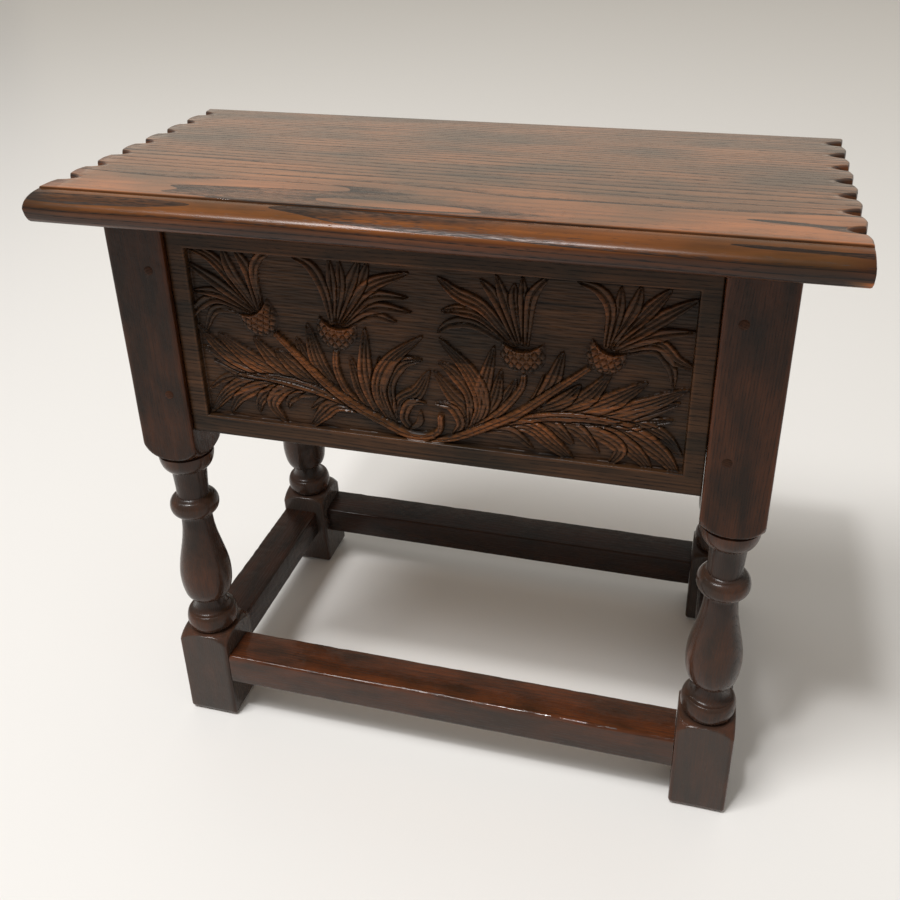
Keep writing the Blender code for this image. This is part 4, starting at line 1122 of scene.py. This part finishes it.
class STOOL_OT_stretchers(bpy.types.Operator):
    """Makes the four low stretchers, their upper arrises worn by feet"""

    bl_idname = "stool.stretchers"
    bl_label = "Stretchers"

    width, height, setback = 33.0 * MM, 27.0 * MM, 1.0 * MM
    bottom = 38.0 * MM
    arris = 1.6 * MM
    tread_wear, plain_wear = 3.0 * MM, 1.2 * MM

    def execute(self, context):
        for name in ("front", "back", "left", "right"):
            self.make(name)
        return {"FINISHED"}

    def make(self, name):
        """One stretcher between its legs, with soft edges and hand-worked faces."""
        lengthways = name in ("front", "back")
        wear = self.tread_wear if name == "front" else self.plain_wear
        stations = 90
        seed = Vector((len(name) * 3.3, len(name) * 1.9 + 5.0 * lengthways, 1.7))
        rings, wear_and_painted_light, dust_and_painted_sheen = [], [], []
        for step in range(stations + 1):
            share = step / stations * 2 - 1
            section = self.section(share, seed, wear)
            rings.append([self.place(name, share, across, up) for across, up in section])
            wear_and_painted_light += [self.rub(name, across, up) for across, up in section]
            dust_and_painted_sheen += [0.24 if name == "front" and up < self.height - self.arris else 0.05 for _, up in section]
        obj = new_piece(f"worn_{name}_stretcher", *loft(rings), smooth_angle=38)
        set_wear(obj, "wear_and_painted_light", wear_and_painted_light)
        set_wear(obj, "dust_and_painted_sheen", dust_and_painted_sheen)
        dress(obj, STOOL, "dark_oak_x" if lengthways else "dark_oak_y", f"{name}_stretcher")

    def place(self, name, share, across, up):
        """Where a point of a section lies: across is outwards from the section's middle."""
        inset = self.setback + self.width / 2 - across
        clear = 0.2 * MM
        if name in ("front", "back"):
            side = FRONT if name == "front" else BACK
            rise = (self.bottom + up) / math.cos(bpy.context.scene.stool_legs.rake)
            return frame_matrix(side) @ Vector((share * (HALF_INNER - clear), -side * inset, rise))
        end = LEFT if name == "left" else RIGHT
        z = self.bottom + up
        return Vector((end * (HALF_LENGTH - inset), CENTRE_Y + share * (inner_half_depth(z) - clear), z))

    def section(self, share, seed, wear):
        """Points round the stretcher at a share of its length."""
        dip = 0.65 + 0.6 * noise.noise(Vector((share * 5, 0, 0)) + seed)
        corners = [
            (-1, 0, self.arris, -math.pi), (1, 0, self.arris, -math.pi / 2),
            (1, 1, self.arris + wear * dip, 0.0), (-1, 1, 1.3 * self.arris, math.pi / 2),
        ]
        points = []
        for across, top, radius, start in corners:
            middle = across * (self.width / 2 - radius)
            level = self.height * top + radius * (1 - 2 * top)
            for step in range(6):
                turn = start + math.pi / 2 * step / 5
                points.append((middle + radius * math.cos(turn), level + radius * math.sin(turn)))
        made = []
        for across, up in points:
            ripple = abs(noise.noise(Vector((share * 14, across * 60, up * 60)) + seed)) * 0.35 * MM
            made.append((across - math.copysign(ripple, across), up - ripple * (up > self.height / 2)))
        return made

    def rub(self, name, across, up):
        """Bright on top of the front one with wear, brightest at its outer arris; dark on the others, partly
        as painted shade.
        """
        # The back and end stretchers are darkened: painted shade and less wear
        if name != "front":
            return 0.12
        top = max(0.0, up / self.height - 0.75) * 4
        outer = max(0.0, across / (self.width / 2))
        return 0.5 + 0.1 * top + 0.3 * top * outer ** 3


class STOOL_OT_pegs(bpy.types.Operator):
    """Drives the oak pegs, a little proud of the posts"""

    bl_idname = "stool.pegs"
    bl_label = "Pegs"

    def execute(self, context):
        for side in (FRONT, BACK):
            for end in (LEFT, RIGHT):
                for level in ("upper", "lower"):
                    outwards = frame_matrix(side).to_3x3() @ Vector((0, side, 0))
                    self.make(f"{ALONG[side]}_{ACROSS[end]}_{level}_peg", outwards)
                    self.make(f"{ACROSS[end]}_{ALONG[side]}_{level}_peg", Vector((end, 0, 0)))
        return {"FINISHED"}

    def make(self, node, outwards):
        """A peg shaved to many facets, its end a little domed."""
        points = [vertex.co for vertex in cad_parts[node].data.vertices]
        reach = max(point.dot(outwards) for point in points)
        head = [point for point in points if point.dot(outwards) > reach - 0.1 * MM]
        centre = sum(head, Vector()) / len(head)
        radius = max((point - centre).length for point in head)
        turn = outwards.to_track_quat("Z", "Y").to_matrix()
        sides = 20
        # Share of the radius, and mm out from the head of the solid peg
        dome = ((0.97, -20.0), (1.0, -1.0), (0.98, 0.05), (0.88, 0.25), (0.5, 0.36), (0.1, 0.38))
        rings = []
        for share, height in dome:
            ring = []
            for step in range(sides):
                angle = 2 * math.pi * step / sides
                out = Vector((math.cos(angle), math.sin(angle), 0.0))
                uneven = 1 + 0.06 * noise.noise(out + Vector((0, 0, reach * 30)))
                ring.append(centre + turn @ (out * radius * share * uneven + Vector((0, 0, height * MM))))
            rings.append(ring)
        obj = new_piece(f"oak_{node}", *loft(rings), smooth_angle=50)
        dress(obj, STOOL, "peg_oak_y", node)


class STOOL_OT_box_bottom(bpy.types.Operator):
    """Finishes the pine bottom, its cleats and their nails"""

    bl_idname = "stool.box_bottom"
    bl_label = "Box Bottom"

    def execute(self, context):
        keep("bottom_board", "bare_pine_x", 0.5 * MM)
        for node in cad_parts:
            if node.endswith("_cleat"):
                keep(node, "bare_pine_y", 0.8 * MM)
            if node.endswith("_nail"):
                keep(node, "nail_iron")
        return {"FINISHED"}


class STOOL_OT_hinges(bpy.types.Operator):
    """Finishes the brass butt hinges and their screws"""

    bl_idname = "stool.hinges"
    bl_label = "Hinges"

    def execute(self, context):
        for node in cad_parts:
            if "_hinge_" in node:
                keep(node, "hinge_brass", 0.0 if node.endswith("_pin") else 0.15 * MM)
        return {"FINISHED"}


# Stage


class STOOL_OT_stage(bpy.types.Operator):
    """Lays a pale floor, lights it softly and sets the camera"""

    bl_idname = "stool.stage"
    bl_label = "Stage"

    def execute(self, context):
        context.scene.view_settings.view_transform = "Standard"
        sizes = context.scene.stool_stage
        self.floor()
        self.room(context, sizes.room)
        self.lamp("key_light", (-1.26, -1.26, 3.8), (1.3, 1.3), sizes.key_power, "#ffffff")
        self.lamp("spark_light", (-0.5, -1.3, 3.8), (0.25, 0.25), sizes.spark_power, "#ffffff")
        self.lamp("rear_light", (0.2, 6.0, 2.2), (12.0, 3.4), sizes.rear_power, "#fff2d8")
        self.camera(context)
        return {"FINISHED"}

    def floor(self):
        """Smooth pale paint: an even off-white with a faint, blurred reflection."""
        bm = bmesh.new()
        bmesh.ops.create_grid(bm, x_segments=1, y_segments=1, size=12.0)
        mesh = bpy.data.meshes.new("pale_floor")
        bm.to_mesh(mesh)
        bm.free()
        obj = new_object("pale_floor", mesh)
        obj.location.z = CAD_LOW.z - 0.2 * MM
        material, _, shader, _ = new_material("pale_paint")
        shader.inputs["Base Color"].default_value = (*linear("#e8e6e3"), 1.0)
        shader.inputs["Roughness"].default_value = 0.35
        mesh.materials.append(material)

    def room(self, context, strength):
        """Even, slightly warm light from all round."""
        world = bpy.data.worlds.new("pale_room")
        context.scene.world = world
        world.use_nodes = True
        light = world.node_tree.nodes["Background"]
        light.inputs["Color"].default_value = (*linear("#f6f1ea"), 1.0)
        light.inputs["Strength"].default_value = strength

    def lamp(self, name, place, size, power, colour):
        """A softbox aimed at the stool."""
        data = bpy.data.lights.new(name, "AREA")
        data.shape = "RECTANGLE"
        data.size, data.size_y = size
        data.energy = power
        data.color = linear(colour)
        obj = new_object(name, data)
        obj.location = place
        aim = (CAD_LOW + CAD_HIGH) / 2 - obj.location
        obj.rotation_euler = aim.to_track_quat("-Z", "Y").to_euler()

    def camera(self, context):
        """The photograph's view: its lens, place and turn were found by fitting the stool's edges."""
        yaw, pitch, roll = math.radians(14.41), math.radians(28.07), math.radians(-0.83)
        focal_px, middle_px, image_px = 937.4, (491.0, 365.6), 900
        place = Vector((0.1742, CENTRE_Y - 0.6197, 0.6394))
        ahead = Vector((-math.sin(yaw) * math.cos(pitch), math.cos(yaw) * math.cos(pitch), -math.sin(pitch)))
        level = Vector((math.cos(yaw), math.sin(yaw), 0.0))
        upright = level.cross(ahead)
        right = math.cos(roll) * level + math.sin(roll) * upright
        up = -math.sin(roll) * level + math.cos(roll) * upright
        data = bpy.data.cameras.new("view")
        data.sensor_width = 36.0
        data.lens = focal_px / image_px * data.sensor_width
        data.shift_x = (image_px / 2 - middle_px[0]) / image_px
        data.shift_y = (middle_px[1] - image_px / 2) / image_px
        data.clip_start = 0.01
        obj = new_object("view", data)
        turn = Matrix((right, up, -ahead)).transposed()
        obj.matrix_world = Matrix.Translation(place) @ turn.to_4x4()
        context.scene.camera = obj


# Panel and registration


OPERATORS = (
    STOOL_OT_legs,
    STOOL_OT_lid,
    STOOL_OT_front_board,
    STOOL_OT_boards,
    STOOL_OT_stretchers,
    STOOL_OT_pegs,
    STOOL_OT_box_bottom,
    STOOL_OT_hinges,
    STOOL_OT_stage,
)
SETTINGS = {
    "stool_legs": LegSettings,
    "stool_lid": LidSettings,
    "stool_carving": CarvingSettings,
    "stool_finish": FinishSettings,
    "stool_stage": StageSettings,
}


class STOOL_PT_panel(bpy.types.Panel):
    """Lists the stool's pieces and their settings"""

    bl_idname = "STOOL_PT_panel"
    bl_label = "Box Stool"
    bl_space_type = "VIEW_3D"
    bl_region_type = "UI"
    bl_category = "Box Stool"

    def draw(self, context):
        for name, group in SETTINGS.items():
            box = self.layout.box()
            box.label(text=group.__doc__)
            for setting in group.__annotations__:
                box.prop(getattr(context.scene, name), setting)
        for operator in OPERATORS:
            self.layout.operator(operator.bl_idname)


CLASSES = (*SETTINGS.values(), *OPERATORS, STOOL_PT_panel)


def register():
    for cls in CLASSES:
        bpy.utils.register_class(cls)
    for name, group in SETTINGS.items():
        setattr(bpy.types.Scene, name, PointerProperty(type=group))


def unregister():
    for name in SETTINGS:
        delattr(bpy.types.Scene, name)
    for cls in reversed(CLASSES):
        bpy.utils.unregister_class(cls)


def main():
    register()
    for operator in OPERATORS:
        group, name = operator.bl_idname.split(".")
        getattr(getattr(bpy.ops, group), name)()


if __name__ == "__main__":
    main()
